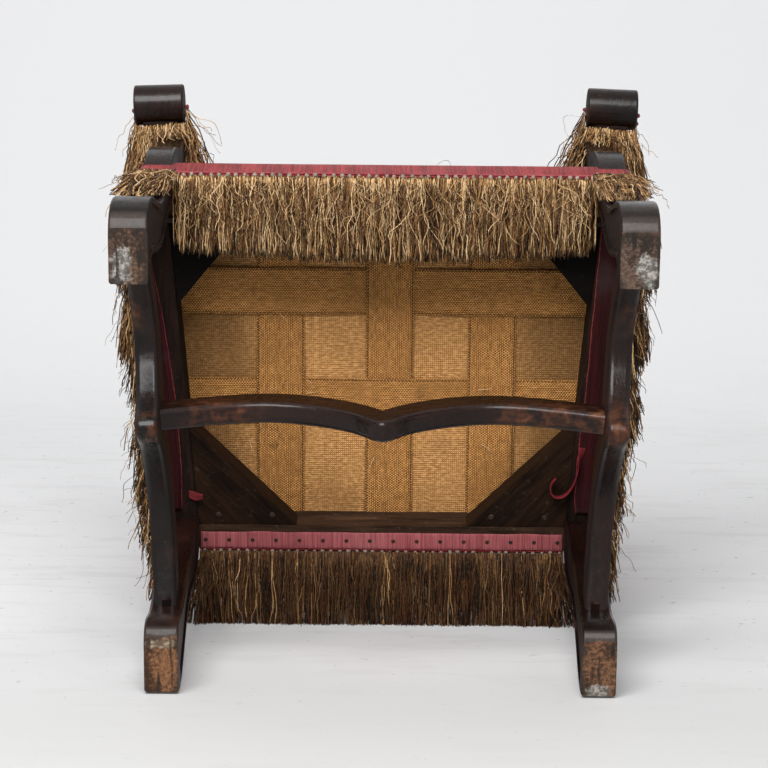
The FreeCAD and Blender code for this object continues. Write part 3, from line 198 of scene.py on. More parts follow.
class Finish(Nodes):
    """One procedural finish: a Principled shader and the nodes that feed it."""

    def __init__(self, name):
        self.material = bpy.data.materials.new(name)
        self.material.use_nodes = True
        super().__init__(self.material.node_tree)
        self.shader = self.tree.nodes["Principled BSDF"]

    def set(self, **sockets):
        """Feed the shader's own sockets; an underscore stands for a space."""
        for name, value in sockets.items():
            self.feed(self.shader.inputs[name.replace("_", " ")], value)
        return self

    def place(self, stretch=(1, 1, 1), turn=0.0):
        """Where the surface is on the chair, turned about the upright axis, then stretched each way."""
        where = self.add("ShaderNodeTexCoord", output="Object")
        if turn:
            where = self.add("ShaderNodeVectorRotate", {"rotation_type": "Z_AXIS"},
                             {"Vector": where, "Angle": turn})
        return self.add("ShaderNodeVectorMath", {"operation": "MULTIPLY"}, {0: where, 1: stretch})

    def place_along(self, axis):
        """How far along one of the chair's axes the surface is."""
        return self.add("ShaderNodeSeparateXYZ", {}, {0: self.place()}, axis)

    def facing(self, axis):
        """How far the surface faces along an axis, from -1 to 1."""
        normal = self.add("ShaderNodeNewGeometry", output="Normal")
        return self.add("ShaderNodeSeparateXYZ", {}, {0: normal}, axis)

    def measured(self, name):
        """A number kept at each point of the mesh, such as the distance along a strip."""
        return self.add("ShaderNodeAttribute", {"attribute_name": name}, output="Fac")

    def noise(self, scale, detail=3, stretch=(1, 1, 1), roughness=0.5, turn=0.0):
        return self.add("ShaderNodeTexNoise", {}, {"Vector": self.place(stretch, turn), "Scale": scale,
                                                   "Detail": detail, "Roughness": roughness})

    def cloth_noise(self, across, along, detail=2, shift=0):
        """Noise in the cloth's own measures, at its own scale each way."""
        where = self.add("ShaderNodeCombineXYZ", {}, {0: across, 1: along, 2: shift})
        return self.add("ShaderNodeTexNoise", {}, {"Vector": where, "Scale": 1, "Detail": detail})

    def step(self, value, low, high):
        """0 below low, 1 above high and smooth between; the other way round where low is above high."""
        return self.add("ShaderNodeMapRange", {"interpolation_type": "SMOOTHSTEP"},
                        {0: value, 1: low, 2: high})

    def wave(self, value, pitch):
        """Even ribs, 0 to 1, one in each pitch of a measured distance."""
        turn = value * (2 * math.pi / pitch)
        return turn.sum("SINE", turn) * 0.5 + 0.5

    def blend(self, share, first, second):
        return self.add("ShaderNodeMix", {"data_type": "RGBA"}, {0: share, 6: first, 7: second}, 2)

    def ramp(self, value, stops):
        return self.add("ShaderNodeValToRGB", {"stops": stops}, {0: value})

    def near(self, points, reach):
        """1 at any of the given points, falling to 0 at a reach from it along each axis."""
        shrink = [1 / part for part in reach]
        found = None
        for point in points:
            centre = [part * share for part, share in zip(point, shrink)]
            away = self.add("ShaderNodeVectorMath", {"operation": "DISTANCE"},
                            {0: self.place(shrink), 1: centre}, "Value")
            mark = self.step(away, 1, 0)
            found = mark if found is None else found.sum("MAXIMUM", found, mark)
        return found

    def edges(self, radius):
        """1 along worn edges and 0 on flats."""
        rounded = self.add("ShaderNodeBevel", {"samples": 4}, {"Radius": radius})
        normal = self.add("ShaderNodeNewGeometry", output="Normal")
        same = self.add("ShaderNodeVectorMath", {"operation": "DOT_PRODUCT"},
                        {0: rounded, 1: normal}, "Value")
        return self.step(same, 0.985, 0.80)

    def bump(self, height, depth, strength):
        normal = self.add("ShaderNodeBump", {}, {"Height": height, "Distance": depth, "Strength": strength})
        self.feed(self.shader.inputs["Normal"], normal)
        return self


GRAIN = {"X": (0.12, 1, 1), "Y": (1, 0.12, 1), "Z": (1, 1, 0.12)}
POLISH_DARK = (0.0042, 0.0023, 0.0019)
POLISH_BROWN = (0.0155, 0.0054, 0.0034)
RUBBED = (0.135, 0.042, 0.015)
RUBBED_PALE = (0.22, 0.105, 0.050)


def shade(colour, share):
    """A colour made darker or lighter."""
    return [part * share for part in colour]


def polished_wood(name, along, worn=(), reach=(0.04, 0.04, 0.04), sole=None):
    """Dark polished walnut, its grain along one axis, rubbed to orange on edges and at the worn places."""
    wood = Finish(name)
    grain = wood.noise(190, 6, GRAIN[along], 0.62)
    figure = wood.noise(17, 4, GRAIN[along])
    blotch = wood.noise(11, 5)
    colour = wood.blend(wood.step(figure + grain * 0.6, 0.62, 1.05), POLISH_DARK, POLISH_BROWN)
    colour = wood.blend(wood.step(blotch, 0.58, 0.74) * 0.5, colour, (0.044, 0.015, 0.008))
    scuff = wood.noise(75, 5)
    rub = wood.edges(0.004) * wood.step(blotch + scuff * 0.5, 0.76, 1.04) * 0.6
    if worn:
        rub = rub + wood.near(worn, reach) * wood.step(scuff + grain * 0.4, 0.54, 0.94) * 0.8
    rub = rub.sum("MINIMUM", rub, 1)
    colour = wood.blend(rub, colour, wood.blend(wood.step(scuff, 0.56, 0.8), RUBBED, RUBBED_PALE))
    dust = wood.step(wood.noise(140, 3), 0.66, 0.78) * 0.20
    colour = wood.blend(dust, colour, (0.10, 0.075, 0.062))
    roughness = 0.17 + grain * 0.16 + rub * 0.25 + wood.step(blotch, 0.4, 0.7) * 0.12
    if sole:
        colour, roughness = worn_sole(wood, colour, roughness, **sole)
    dull = wood.step(abs(wood.facing("X")), 0.45, 0.90) * (0.0 if along == "X" else 1.0)
    wood.set(Base_Color=colour, Roughness=roughness + dull * 0.42, Coat_Roughness=0.15,
             Coat_Weight=0.19 - dull * 0.19, Specular_IOR_Level=0.14)
    return wood.bump(grain * 0.5 + scuff * 0.5 + figure * 0.9 + blotch * 1.6, 0.0019, 0.7)


def worn_sole(wood, colour, roughness, toe, ground, bare, bare_place, bare_reach, toe_end, middle,
              middle_reach):
    """The underside of a foot: a dark round toe, a mottled and cracked ground, and a bare ragged patch."""
    ragged = wood.noise(70, 5)
    grit = wood.noise(230, 6, (1, 1, 1), 0.75)
    stain = wood.noise(44, 5, (1, 0.4, 1))
    crack = wood.noise(95, 4, (1, 0.16, 1))
    low = wood.step(wood.place_along("Z") + ragged * 0.01, 0.055, 0.034)
    under = wood.step(wood.facing("Z"), -0.42, -0.70) * low
    dark = wood.blend(wood.step(grit, 0.45, 0.70), toe, shade(toe, 1.8))
    colour = wood.blend(under * 0.75, colour, dark)
    depth = wood.place_along("Y")
    flat = under * wood.step(depth + (ragged - 0.5) * 0.016, toe_end - 0.001, toe_end + 0.003)
    patch = wood.step(wood.near([bare_place], bare_reach) * 0.7 + ragged * 0.9 + grit * 0.3, 0.86, 1.12)
    speckled = wood.blend(wood.step(grit + ragged * 0.5, 0.68, 0.92), shade(bare, 0.25), bare)
    earth = wood.blend(wood.step(stain + grit * 0.7, 0.72, 0.98), shade(ground, 0.14), shade(ground, 1.35))
    earth = wood.blend(wood.step(grit, 0.60, 0.40) * 0.70, earth, shade(ground, 0.25))
    marked = wood.blend(patch, earth, speckled)
    marked = wood.blend(wood.step(crack, 0.57, 0.64) * 0.85, marked, (0.014, 0.010, 0.008))
    grimy = wood.step(wood.near([middle], middle_reach) + (ragged - 0.5) * 0.5, 0.40, 0.12) * 0.85
    marked = wood.blend(grimy, marked, (0.020, 0.014, 0.011))
    colour = wood.blend(flat, colour, marked)
    rim = under * wood.step(abs(depth + (ragged - 0.5) * 0.016 - toe_end - 0.001), 0.0035, 0.0005)
    colour = wood.blend(rim * wood.step(stain, 0.42, 0.62) * 0.6, colour, (0.20, 0.080, 0.034))
    return colour, roughness + under * 0.30


def front_sole(side, ground, bare_place):
    """The marks under a front foot."""
    return {"toe": (0.034, 0.024, 0.019), "ground": ground, "bare": (0.40, 0.37, 0.33),
            "bare_place": bare_place, "bare_reach": (0.026, 0.045, 0.02), "toe_end": -0.3078,
            "middle": (side * 0.2785, -0.275, 0), "middle_reach": (0.034, 0.055, 0.05)}


def rear_sole(ground, bare, bare_place, bare_reach, middle, middle_reach):
    """The marks under a rear foot."""
    return {"toe": (0.034, 0.024, 0.020), "ground": ground, "bare": bare, "bare_place": bare_place,
            "bare_reach": bare_reach, "toe_end": 0.1657, "middle": middle, "middle_reach": middle_reach}


def rough_wood(name, along, dark, light, scuffs, turn=0.0):
    """Sawn wood inside the frame, dull and dusty. Its grain is turned where a piece lies aslant."""
    wood = Finish(name)
    grain = wood.noise(170, 6, GRAIN[along], 0.66, turn)
    figure = wood.noise(22, 5, GRAIN[along], 0.5, turn)
    colour = wood.blend(wood.step(grain + figure * 0.7, 0.60, 1.05), dark, light)
    scrape = wood.step(wood.noise(38, 6, GRAIN[along], 0.5, turn), 0.60, 0.72) * scuffs
    colour = wood.blend(scrape, colour, shade(light, 2.2))
    dust = wood.step(wood.noise(150, 4), 0.60, 0.75) * scuffs * 0.5
    colour = wood.blend(dust, colour, (0.13, 0.10, 0.075))
    wood.set(Base_Color=colour, Roughness=0.62 + grain * 0.25, Specular_IOR_Level=0.06)
    return wood.bump(grain * 0.7 + figure + wood.noise(420, 2) * 0.25, 0.0016, 0.8)


def ribbed_silk(name, pale, deep, shine=0.42, raw_edge=None):
    """Ribbed silk: fine ribs along the cloth, each a little different, faded along the folds.
    A raw edge, where the cloth has one, shows its own colour."""
    silk = Finish(name)
    across = silk.measured("across")
    along = silk.measured("along")
    streak = silk.cloth_noise(across * 330, along * 9, 3)
    band = silk.cloth_noise(across * 90, along * 5, 2, 3)
    rib = silk.wave(across, 0.0021)
    colour = silk.blend(silk.step(streak * 0.7 + band * 0.5 + rib * 0.16, 0.50, 0.84), deep, pale)
    faded = silk.step(silk.noise(9, 4), 0.52, 0.72) * 0.12
    colour = silk.blend(faded, colour, [0.20 + 0.80 * part for part in pale])
    darkening = silk.step(silk.noise(60, 5), 0.56, 0.74) * 0.30
    colour = silk.blend(darkening, colour, shade(deep, 0.45))
    if raw_edge:
        torn = silk.step(abs(silk.measured("edge")) + silk.noise(400, 3) * 0.2, 0.99, 1.10)
        colour = silk.blend(torn, colour, raw_edge)
    silk.set(Base_Color=colour, Roughness=shine + streak * 0.18, Specular_IOR_Level=0.10)
    return silk.bump(rib * 0.8 + streak * 0.6, 0.0007, 0.8)


def girth_web():
    """Woven jute web: a small diamond twill between two stitched edges."""
    web = Finish("girth_web")
    across = web.measured("across")
    along = web.measured("along")
    twill = web.wave(along + across * 0.75, 0.0033) * web.wave(along - across * 0.75, 0.0033)
    yarn = web.wave(across, 0.0026)
    slub = web.cloth_noise(across * 420, along * 90)
    weave = twill * 0.70 + yarn * 0.20 + slub * 0.65
    colour = web.blend(web.step(weave, 0.30, 0.98), (0.155, 0.064, 0.018), (0.90, 0.440, 0.140))
    tone = web.noise(14, 4)
    colour = web.blend(web.step(tone, 0.42, 0.70) * 0.42, colour, (0.28, 0.130, 0.038))
    out = abs(across)
    half = WEB_WIDTH / 2
    edge = web.step(out, half - 0.0034, half - 0.0028) * web.step(out, half - 0.0012, half - 0.0018)
    stitches = edge * web.step(web.wave(along, 0.0045), 0.15, 0.5) * 0.9
    colour = web.blend(stitches, colour, (0.085, 0.040, 0.016))
    grime = web.step(web.noise(45, 5), 0.62, 0.76) * 0.45
    colour = web.blend(grime, colour, (0.10, 0.055, 0.026))
    web.set(Base_Color=colour, Roughness=0.86, Specular_IOR_Level=0.05)
    return web.bump(weave - edge * 0.5, 0.0016, 1.0)


def hessian_cloth():
    """Plain open-woven hessian, darker towards the side rails as painted shade."""
    cloth = Finish("seat_hessian")
    across = cloth.measured("across")
    along = cloth.measured("along")
    weave = cloth.wave(across, 0.0025) * cloth.wave(along, 0.0027)
    slub = cloth.cloth_noise(across * 160, along * 330)
    lit = cloth.step(weave * 0.5 + slub, 0.40, 0.90)
    colour = cloth.blend(lit, (0.32, 0.150, 0.048), (0.77, 0.41, 0.155))
    stain = cloth.step(cloth.noise(12, 5), 0.50, 0.72) * 0.40
    colour = cloth.blend(stain, colour, (0.24, 0.115, 0.040))
    # Painted shade: the hessian darkens towards the side rails, where the rails shade it.
    painted_rail_shade = cloth.step(abs(across) + cloth.noise(20, 4) * 0.06, 0.155, 0.240) * 0.60
    colour = cloth.blend(painted_rail_shade, colour, (0.055, 0.026, 0.010))
    cloth.set(Base_Color=colour, Roughness=0.9, Specular_IOR_Level=0.05)
    return cloth.bump(weave + slub * 0.4, 0.0009, 0.9)


THREAD_TONES = ((0.0, (0.010, 0.007, 0.005)), (0.14, (0.034, 0.022, 0.013)), (0.24, (0.13, 0.042, 0.016)),
                (0.34, (0.100, 0.057, 0.027)), (0.50, (0.22, 0.116, 0.048)), (0.66, (0.40, 0.210, 0.080)),
                (0.82, (0.60, 0.350, 0.145)), (1.0, (0.82, 0.58, 0.32)))


def fringe_thread():
    """Old linen threads: each thread its own tone, mottled, with dark ends."""
    thread = Finish("fringe_thread")
    tone = thread.measured("tone")
    along = thread.measured("along")
    mottle = thread.noise(240, 3)
    patch = thread.noise(34, 3)
    crimp = thread.wave(along + tone * 0.01, 0.0046)
    colour = thread.ramp(tone + mottle * 0.36 + patch * 0.50 - 0.43, THREAD_TONES)
    colour = thread.blend(crimp * 0.20, colour, (0.05, 0.030, 0.015))
    tip = thread.step(thread.measured("tip") + mottle * 0.12, 0.80, 1.06)
    colour = thread.blend(tip * 0.75, colour, (0.022, 0.015, 0.010))
    thread.set(Base_Color=colour, Roughness=0.60, Specular_IOR_Level=0.12)
    return thread.bump(crimp + mottle, 0.0005, 0.6)


def old_braid(name, light, dark):
    """Braid and knots of a fringe's heading."""
    braid = Finish(name)
    fleck = braid.noise(520, 3)
    tone = braid.noise(55, 4)
    colour = braid.blend(braid.step(fleck + tone * 0.7, 0.60, 1.05), dark, light)
    braid.set(Base_Color=colour, Roughness=0.55, Specular_IOR_Level=0.16)
    return braid.bump(fleck + tone * 0.3, 0.0006, 0.7)


def old_iron():
    """Tack and nail heads, rusted brown."""
    iron = Finish("old_iron")
    rust = iron.noise(600, 5)
    colour = iron.blend(iron.step(rust, 0.40, 0.62), (0.010, 0.008, 0.007), (0.050, 0.022, 0.012))
    iron.set(Base_Color=colour, Roughness=0.50 + rust * 0.35, Specular_IOR_Level=0.2)
    return iron.bump(rust, 0.0004, 0.6)


def studio_floor():
    """Pale painted floor that turns up into the backdrop; seen from behind it isn't there."""
    floor = Finish("studio_floor")
    cloud = floor.noise(1.3, 4)
    scratch = floor.noise(9, 6, (1, 1, 0.3))
    far = floor.step(floor.place_along("Z"), 0.9, 2.6)
    colour = floor.blend(floor.step(cloud, 0.35, 0.65), (0.715, 0.715, 0.72), (0.755, 0.755, 0.76))
    colour = floor.blend(floor.step(scratch, 0.56, 0.66) * 0.10, colour, (0.66, 0.67, 0.68))
    brushed = floor.noise(26, 6, (0.22, 1, 1), 0.7)
    colour = floor.blend(floor.step(brushed, 0.50, 0.66) * 0.40, colour, (0.56, 0.55, 0.54))
    fleck = floor.noise(85, 2)
    colour = floor.blend(floor.step(fleck, 0.70, 0.73) * 0.6, colour, (0.34, 0.33, 0.32))
    colour = floor.blend(far, colour, (0.90, 0.90, 0.905))
    # Painted shade: the floor's colour is made darker towards the camera, standing in for the light's
    # falloff.
    near = floor.step(floor.place_along("Z") + cloud * 0.3, 0.65, 0.0)
    colour = floor.blend(near * 0.8, colour, (0.50, 0.495, 0.49))
    floor.set(Base_Color=colour, Roughness=0.62, Specular_IOR_Level=0.25)
    seen = floor.add("ShaderNodeLightPath", output="Is Camera Ray")
    # The camera glow is darker towards the camera as well: painted shade.
    bright = floor.blend(near, floor.blend(far, (0.84, 0.84, 0.845), (0.97, 0.97, 0.975)), (0.62, 0.61, 0.60))
    glow = floor.add("ShaderNodeEmission", {}, {"Color": bright, "Strength": 1.0})
    painted = Flow(floor, floor.shader.outputs[0])
    lit = floor.add("ShaderNodeMixShader", {}, {0: seen * FLOOR_GLOW, 1: painted, 2: glow})
    clear = floor.add("ShaderNodeBsdfTransparent")
    behind = floor.add("ShaderNodeNewGeometry", output="Backfacing")
    shown = floor.add("ShaderNodeMixShader", {}, {0: behind, 1: lit, 2: clear})
    floor.feed(floor.tree.nodes["Material Output"].inputs["Surface"], shown)
    return floor


# Camera, floor and lamps

def place_camera():
    """The photograph's view: from under the seat, the front of the chair up."""
    forward = Vector((0, 0.267, 0.964)).normalized()
    up = Vector((0, -0.964, 0.267)).normalized()
    right = forward.cross(up)
    data = bpy.data.cameras.new("photograph_camera")
    data.sensor_width = 36
    data.lens = LENS
    camera = bpy.data.objects.new("photograph_camera", data)
    turn = Matrix((right, up, -forward)).transposed().to_4x4()
    roll = Matrix.Rotation(CAMERA_ROLL, 4, "Z")
    camera.matrix_world = Matrix.Translation(CAMERA_PLACE) @ turn @ roll
    bpy.context.scene.collection.objects.link(camera)
    bpy.context.scene.camera = camera


def lay_floor():
    """The floor that the chair lies on, which runs back and turns up behind the chair."""
    profile = [(FLOOR_Y + FLOOR_SLOPE * z, z) for z in np.arange(-4.2, 1.81, 0.3)]
    radius = 1.5
    tilt = math.atan(FLOOR_SLOPE)
    centre_y = profile[-1][0] - radius * math.cos(tilt)
    centre_z = profile[-1][1] + radius * math.sin(tilt)
    for turn in np.linspace(0.06, math.pi / 2 - 0.05, 14):
        angle = turn + tilt
        profile.append((centre_y + radius * math.cos(angle - 2 * tilt),
                        centre_z - radius * math.sin(2 * tilt - angle)))
    top = profile[-1]
    profile.append((top[0] - 2.4, top[1] + 0.15))
    widths = np.linspace(-2.3, 2.3, 9)
    vertices = [(x, y, z) for y, z in profile for x in widths]
    mesh = bpy.data.meshes.new("studio_floor")
    mesh.from_pydata(vertices, [], grid_faces(len(profile), len(widths)))
    mesh.materials.append(studio_floor().material)
    mesh.shade_smooth()
    if mesh.polygons[0].normal.y > 0:
        mesh.flip_normals()
    floor = bpy.data.objects.new("studio_floor", mesh)
    floor.visible_shadow = False
    bpy.context.scene.collection.objects.link(floor)


def hang_lamp(name, place, aim, size, power):
    data = bpy.data.lights.new(name, "AREA")
    data.shape = "RECTANGLE"
    data.size, data.size_y = size
    data.energy = power
    lamp = bpy.data.objects.new(name, data)
    lamp.location = place
    lamp.rotation_mode = "QUATERNION"
    lamp.rotation_quaternion = (Vector(aim) - Vector(place)).to_track_quat("-Z", "Y")
    bpy.context.scene.collection.objects.link(lamp)


def light_studio():
    """Soft light from above the lying chair, and a pale room around it."""
    bpy.context.scene.view_settings.view_transform = "Standard"
    hang_lamp("soft_lamp_above", (-0.45, -2.65, -1.45), (0, -0.05, 0.3), (2.3, 1.7), 150)
    hang_lamp("soft_lamp_behind", (1.2, 2.2, 2.9), (0, 0, 0.5), (2.2, 1.8), 30)
    world = bpy.context.scene.world or bpy.data.worlds.new("room")
    bpy.context.scene.world = world
    world.use_nodes = True
    room = Nodes(world.node_tree)
    room.tree.nodes.clear()
    camera = room.add("ShaderNodeLightPath", output="Is Camera Ray")
    glossy = room.add("ShaderNodeLightPath", output="Is Glossy Ray")
    through = room.add("ShaderNodeLightPath", output="Is Transmission Ray")
    seen = room.add("ShaderNodeMath", {"operation": "ADD", "use_clamp": True},
                    {0: camera, 1: glossy + through})
    light = room.add("ShaderNodeBackground", {}, {"Color": (0.97, 0.985, 1), "Strength": 0.40})
    backdrop = room.add("ShaderNodeBackground", {}, {"Color": (0.84, 0.84, 0.845), "Strength": 1})
    mix = room.add("ShaderNodeMixShader", {}, {0: seen, 1: light, 2: backdrop})
    room.feed(room.tree.nodes.new("ShaderNodeOutputWorld").inputs["Surface"], mix)


# Making meshes

def keep_measures(mesh, measures):
    """Keeps numbers at each point of a mesh, for its finish to read."""
    for label, values in measures.items():
        numbers = mesh.attributes.get(label) or mesh.attributes.new(label, "FLOAT", "POINT")
        numbers.data.foreach_set("value", np.asarray(values, np.float32).ravel())


def make_piece(name, vertices, faces, finish, slot, body="chair", measures=None, instead_of=()):
    """A smooth mesh that rides on a body, with the numbers that its finish reads at each point."""
    mesh = bpy.data.meshes.new(name)
    mesh.from_pydata(np.asarray(vertices, float).tolist(), [], faces)
    mesh.materials.append(finish.material)
    mesh.shade_smooth()
    keep_measures(mesh, measures or {})
    piece = bpy.data.objects.new(name, mesh)
    bpy.context.scene.collection.objects.link(piece)
    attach(piece, body)
    if instead_of:
        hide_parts(*instead_of)
    return piece


def tube_faces(rings, around):
    """Faces of a closed tube of rings, numbered ring by ring."""
    faces = []
    for ring in range(rings - 1):
        for step in range(around):
            after = (step + 1) % around
            faces.append((ring * around + step, ring * around + after,
                          (ring + 1) * around + after, (ring + 1) * around + step))
    faces.append(tuple(range(around))[::-1])
    faces.append(tuple((rings - 1) * around + step for step in range(around)))
    return faces


def grid_faces(rows, columns):
    """Faces of a sheet of points, numbered row by row."""
    return [(row * columns + column, row * columns + column + 1, (row + 1) * columns + column + 1,
             (row + 1) * columns + column)
            for row in range(rows - 1) for column in range(columns - 1)]


def unit(vectors):
    return vectors / np.maximum(np.linalg.norm(vectors, axis=-1, keepdims=True), 1e-9)


def points_at(x, y, z):
    """Points from their places along each axis; a number stands for every point."""
    return np.stack(np.broadcast_arrays(x, y, z), axis=1)


def distances(path):
    """Distance along a path to each of its points."""
    return np.concatenate([[0], np.cumsum(np.linalg.norm(np.diff(path, axis=0), axis=1))])


def along_path(path, at):
    """Points at distances along a path."""
    return np.stack([np.interp(at, distances(path), places) for places in np.asarray(path, float).T], axis=-1)


def uneven(points, scale=1):
    """Smooth noise at each point."""
    return np.array([noise.noise(Vector(point) * scale) for point in points])


THREAD_RINGS = 14
THREAD_SIDES = 3
THREAD_SHARES = np.linspace(0, 1, THREAD_RINGS)
THREAD_TAPER = np.interp(THREAD_SHARES, [0, 0.1, 0.5, 0.92, 1], [0.8, 1.03, 1.0, 0.92, 0.72])
SWAYS = ((0.7, 1.0), (1.7, 0.55), (3.2, 0.32))


class Threads:
    """Loose threads gathered into one mesh: roots, tips, thickness and tone of each."""

    def __init__(self, seed):
        self.random = np.random.default_rng(seed)
        self.vertices = []
        self.measures = {"tone": [], "along": [], "tip": []}
        self.count = 0

    def add(self, roots, tips, thickness, waver, tone, bow=(0, 0, 0), clear=None, dark_end=0.004):
        """Threads from roots to tips, which waver, bow out in their middle and keep clear of wood."""
        random = self.random
        roots = np.asarray(roots, float)
        tips = np.asarray(tips, float)
        number = len(roots)
        share = THREAD_SHARES
        run = tips - roots
        length = np.linalg.norm(run, axis=1)
        first = unit(np.cross(run, [0.3, 0.1, 1.0]))
        second = unit(np.cross(run, first))
        sway = np.zeros((number, THREAD_RINGS, 3))
        for direction in (first, second):
            for turns, size in SWAYS:
                phase = random.uniform(0, 2 * math.pi, number)[:, None]
                rate = turns * random.uniform(0.6, 1.4, number)[:, None] * 2 * math.pi
                reach = (np.broadcast_to(waver, number) * size * random.normal(0, 1, number))[:, None]
                swing = np.sin(rate * share[None] + phase) - np.sin(phase)
                curve = reach * swing * np.minimum(1, share[None] * 2.5)
                sway += curve[:, :, None] * direction[:, None]
        arch = np.sin(share * math.pi) ** 0.8
        lift = arch[None, :, None] * np.broadcast_to(np.asarray(bow, float), (number, 3))[:, None]
        centre = roots[:, None] + share[None, :, None] * run[:, None] + sway + lift
        if clear:
            centre = clear(centre)
        radius = np.asarray(thickness)[:, None] / 2 * THREAD_TAPER
        radius = radius * random.uniform(0.9, 1.1, (number, THREAD_RINGS))
        spin = random.uniform(0, 2 * math.pi, number)[:, None]
        rings = []
        for side in range(THREAD_SIDES):
            angle = spin + side * 2 * math.pi / THREAD_SIDES
            offset = np.cos(angle)[:, :, None] * first[:, None] + np.sin(angle)[:, :, None] * second[:, None]
            rings.append(centre + radius[:, :, None] * offset)
        self.vertices.append(np.stack(rings, axis=2).reshape(-1, 3))
        spread = np.ones((number, THREAD_RINGS, THREAD_SIDES))
        along = share[None, :, None] * length[:, None, None] * spread
        self.measures["tone"].append((np.asarray(tone)[:, None, None] * spread).ravel())
        self.measures["along"].append(along.ravel())
        self.measures["tip"].append((1 - (length[:, None, None] - along) / (dark_end * 6)).ravel())
        self.count += number
        return self

    def make(self, name, body, instead_of):
        once = tube_faces(THREAD_RINGS, THREAD_SIDES)
        step = THREAD_RINGS * THREAD_SIDES
        faces = [tuple(corner + thread * step for corner in face)
                 for thread in range(self.count) for face in once]
        measures = {label: np.concatenate(values) for label, values in self.measures.items()}
        return make_piece(name, np.concatenate(self.vertices), faces, THREAD, "fringe", body, measures,
                          instead_of)


# Fringes

def thread_tones(random, number, dark_share=0.16, pale_share=0.20):
    """Tones of threads: mostly tan, some near black, some pale straw."""
    tone = random.normal(0.45, 0.20, number)
    kind = random.uniform(0, 1, number)
    tone = np.where(kind < dark_share, random.uniform(0.02, 0.36, number), tone)
    tone = np.where(kind > 1 - pale_share, random.uniform(0.82, 1.0, number), tone)
    return np.clip(tone, 0, 1)


def hanging_row(threads, centres, direction, per_bunch, length, spread, clear=None, tones=(0.30, 0.12),
                thickness=(0.0010, 0.0019), waver=0.0019, deep=0.0024, stray=(0.34, 0.0044), darkening=0.18):
    """Bunches of threads under a heading. Centres are the bunches' places and direction is how each hangs.
    The threads that lie deeper are darker: painted shade of the threads in front, with some dirt. A share of
    thin stray ones curls out of the row."""
    random = threads.random
    number = len(centres) * per_bunch
    centres = np.repeat(np.asarray(centres, float), per_bunch, axis=0)
    direction = unit(np.broadcast_to(np.asarray(direction, float), (number // per_bunch, 3)))
    direction = np.repeat(direction, per_bunch, axis=0)
    shared = np.repeat(random.normal(0, spread * 0.6, (number // per_bunch, 3)), per_bunch, axis=0)
    depth = random.normal(0, 1, number)
    roots = centres + points_at(random.normal(0, 0.0018, number), random.normal(0, 0.0010, number),
                                depth * deep)
    reach = np.repeat(np.broadcast_to(length, number // per_bunch), per_bunch)
    reach = reach * random.normal(1.0, 0.04, number)
    short = random.uniform(0, 1, number) < 0.10
    reach = np.where(short, reach * random.uniform(0.55, 0.9, number), reach)
    direction = unit(direction + shared + random.normal(0, spread, (number, 3)))
    tips = roots + direction * reach[:, None]
    bow = np.abs(random.normal(0.002, 0.002, (number, 1))) * [0, 0, -1]
    wide = random.uniform(*thickness, number)
    # Deeper threads get a darker tone: painted shade from the threads in front, with some dirt.
    tone = np.clip(thread_tones(random, number, *tones) - depth * darkening, 0, 1)
    threads.add(roots, tips, wide, waver, tone, bow, clear)
    hairs = np.flatnonzero(random.uniform(0, 1, number) < stray[0])
    away = unit(direction[hairs] + random.normal(0, stray[1] * 50, (len(hairs), 3)))
    ends = roots[hairs] + away * reach[hairs, None] * random.uniform(0.4, 0.95, (len(hairs), 1))
    threads.add(roots[hairs], ends, random.uniform(0.0006, 0.0011, len(hairs)), stray[1],
                np.clip(tone[hairs] + 0.06, 0, 1), bow[hairs] * 2.2, clear)


def front_length(x):
    """The front fringe hangs longest in its middle."""
    return FRINGE_LENGTH * (1.02 - 0.15 * np.abs(np.asarray(x) / FRONT_HALF_WIDTH) ** 1.6)


def between_limits(limit):
    """Keeps threads between two pieces of wood."""
    def clear(points):
        points[..., 0] = np.clip(points[..., 0], -limit, limit)
        return points
    return clear


def between_posts(points):
    """Keeps the rear row between the posts, and clear of the rail when it swings down."""
    points = between_limits(POST_INNER - WOOD_GAP)(points)
    points[..., 1] = np.maximum(points[..., 1], REAR_HEADING_Y - 0.0033)
    out = points[..., 1] - REAR_HEADING_Y
    nearest = HEADING_LEVEL - 0.0026 - FLOOR_SLOPE * out - np.maximum(out - 0.003, 0) * 0.6
    points[..., 2] = np.maximum(points[..., 2], nearest)
    return points


def heading_row(start, end, y, level=HEADING_LEVEL):
    """Places of bunches along a straight heading across the chair."""
    return points_at(np.arange(start, end, BUNCH_PITCH), y, level)


def hang_front_fringe():
    threads = Threads(11)
    centres = heading_row(-0.2455, 0.2460, FRONT_HEADING_Y + 0.0038, HEADING_LEVEL - 0.0030)
    hanging_row(threads, centres, HANG, 29, front_length(centres[:, 0]), 0.042, between_limits(FRONT_ROW_END),
                (0.38, 0.20), (0.0008, 0.0017), 0.0021, stray=(0.42, 0.0052))
    threads.make("front_fringe_threads", "front_fringe", ["front_fringe"])


def drawn_in(points, start=0.322, share=0.56):
    """Draws in the threads that stray far from the chair's sides."""
    out = np.abs(points[..., 0])
    points[..., 0] = np.sign(points[..., 0]) * np.where(out > start, start + (out - start) * share, out)
    return points


def clear_of_frame(points):
    """Keeps threads outside the side of the frame."""
    side = np.sign(points[..., :1].mean(axis=1, keepdims=True))
    least = half_width(points[..., 1]) + 0.0035
    points[..., 0] = side[..., 0] * np.maximum(np.abs(points[..., 0]), least)
    return drawn_in(points)


def hang_rear_fringe():
    threads = Threads(23)
    centres = heading_row(-0.2245, 0.2250, REAR_HEADING_Y - 0.0030, HEADING_LEVEL - 0.0016)
    hanging_row(threads, centres, HANG, 26, FRINGE_LENGTH + 0.002, 0.022, between_posts,
                (0.90, 0.0), (0.0007, 0.0014), 0.0013, stray=(0.20, 0.0018), darkening=0.06)
    threads.make("rear_fringe_threads", "rear_fringe", ["rear_fringe"])


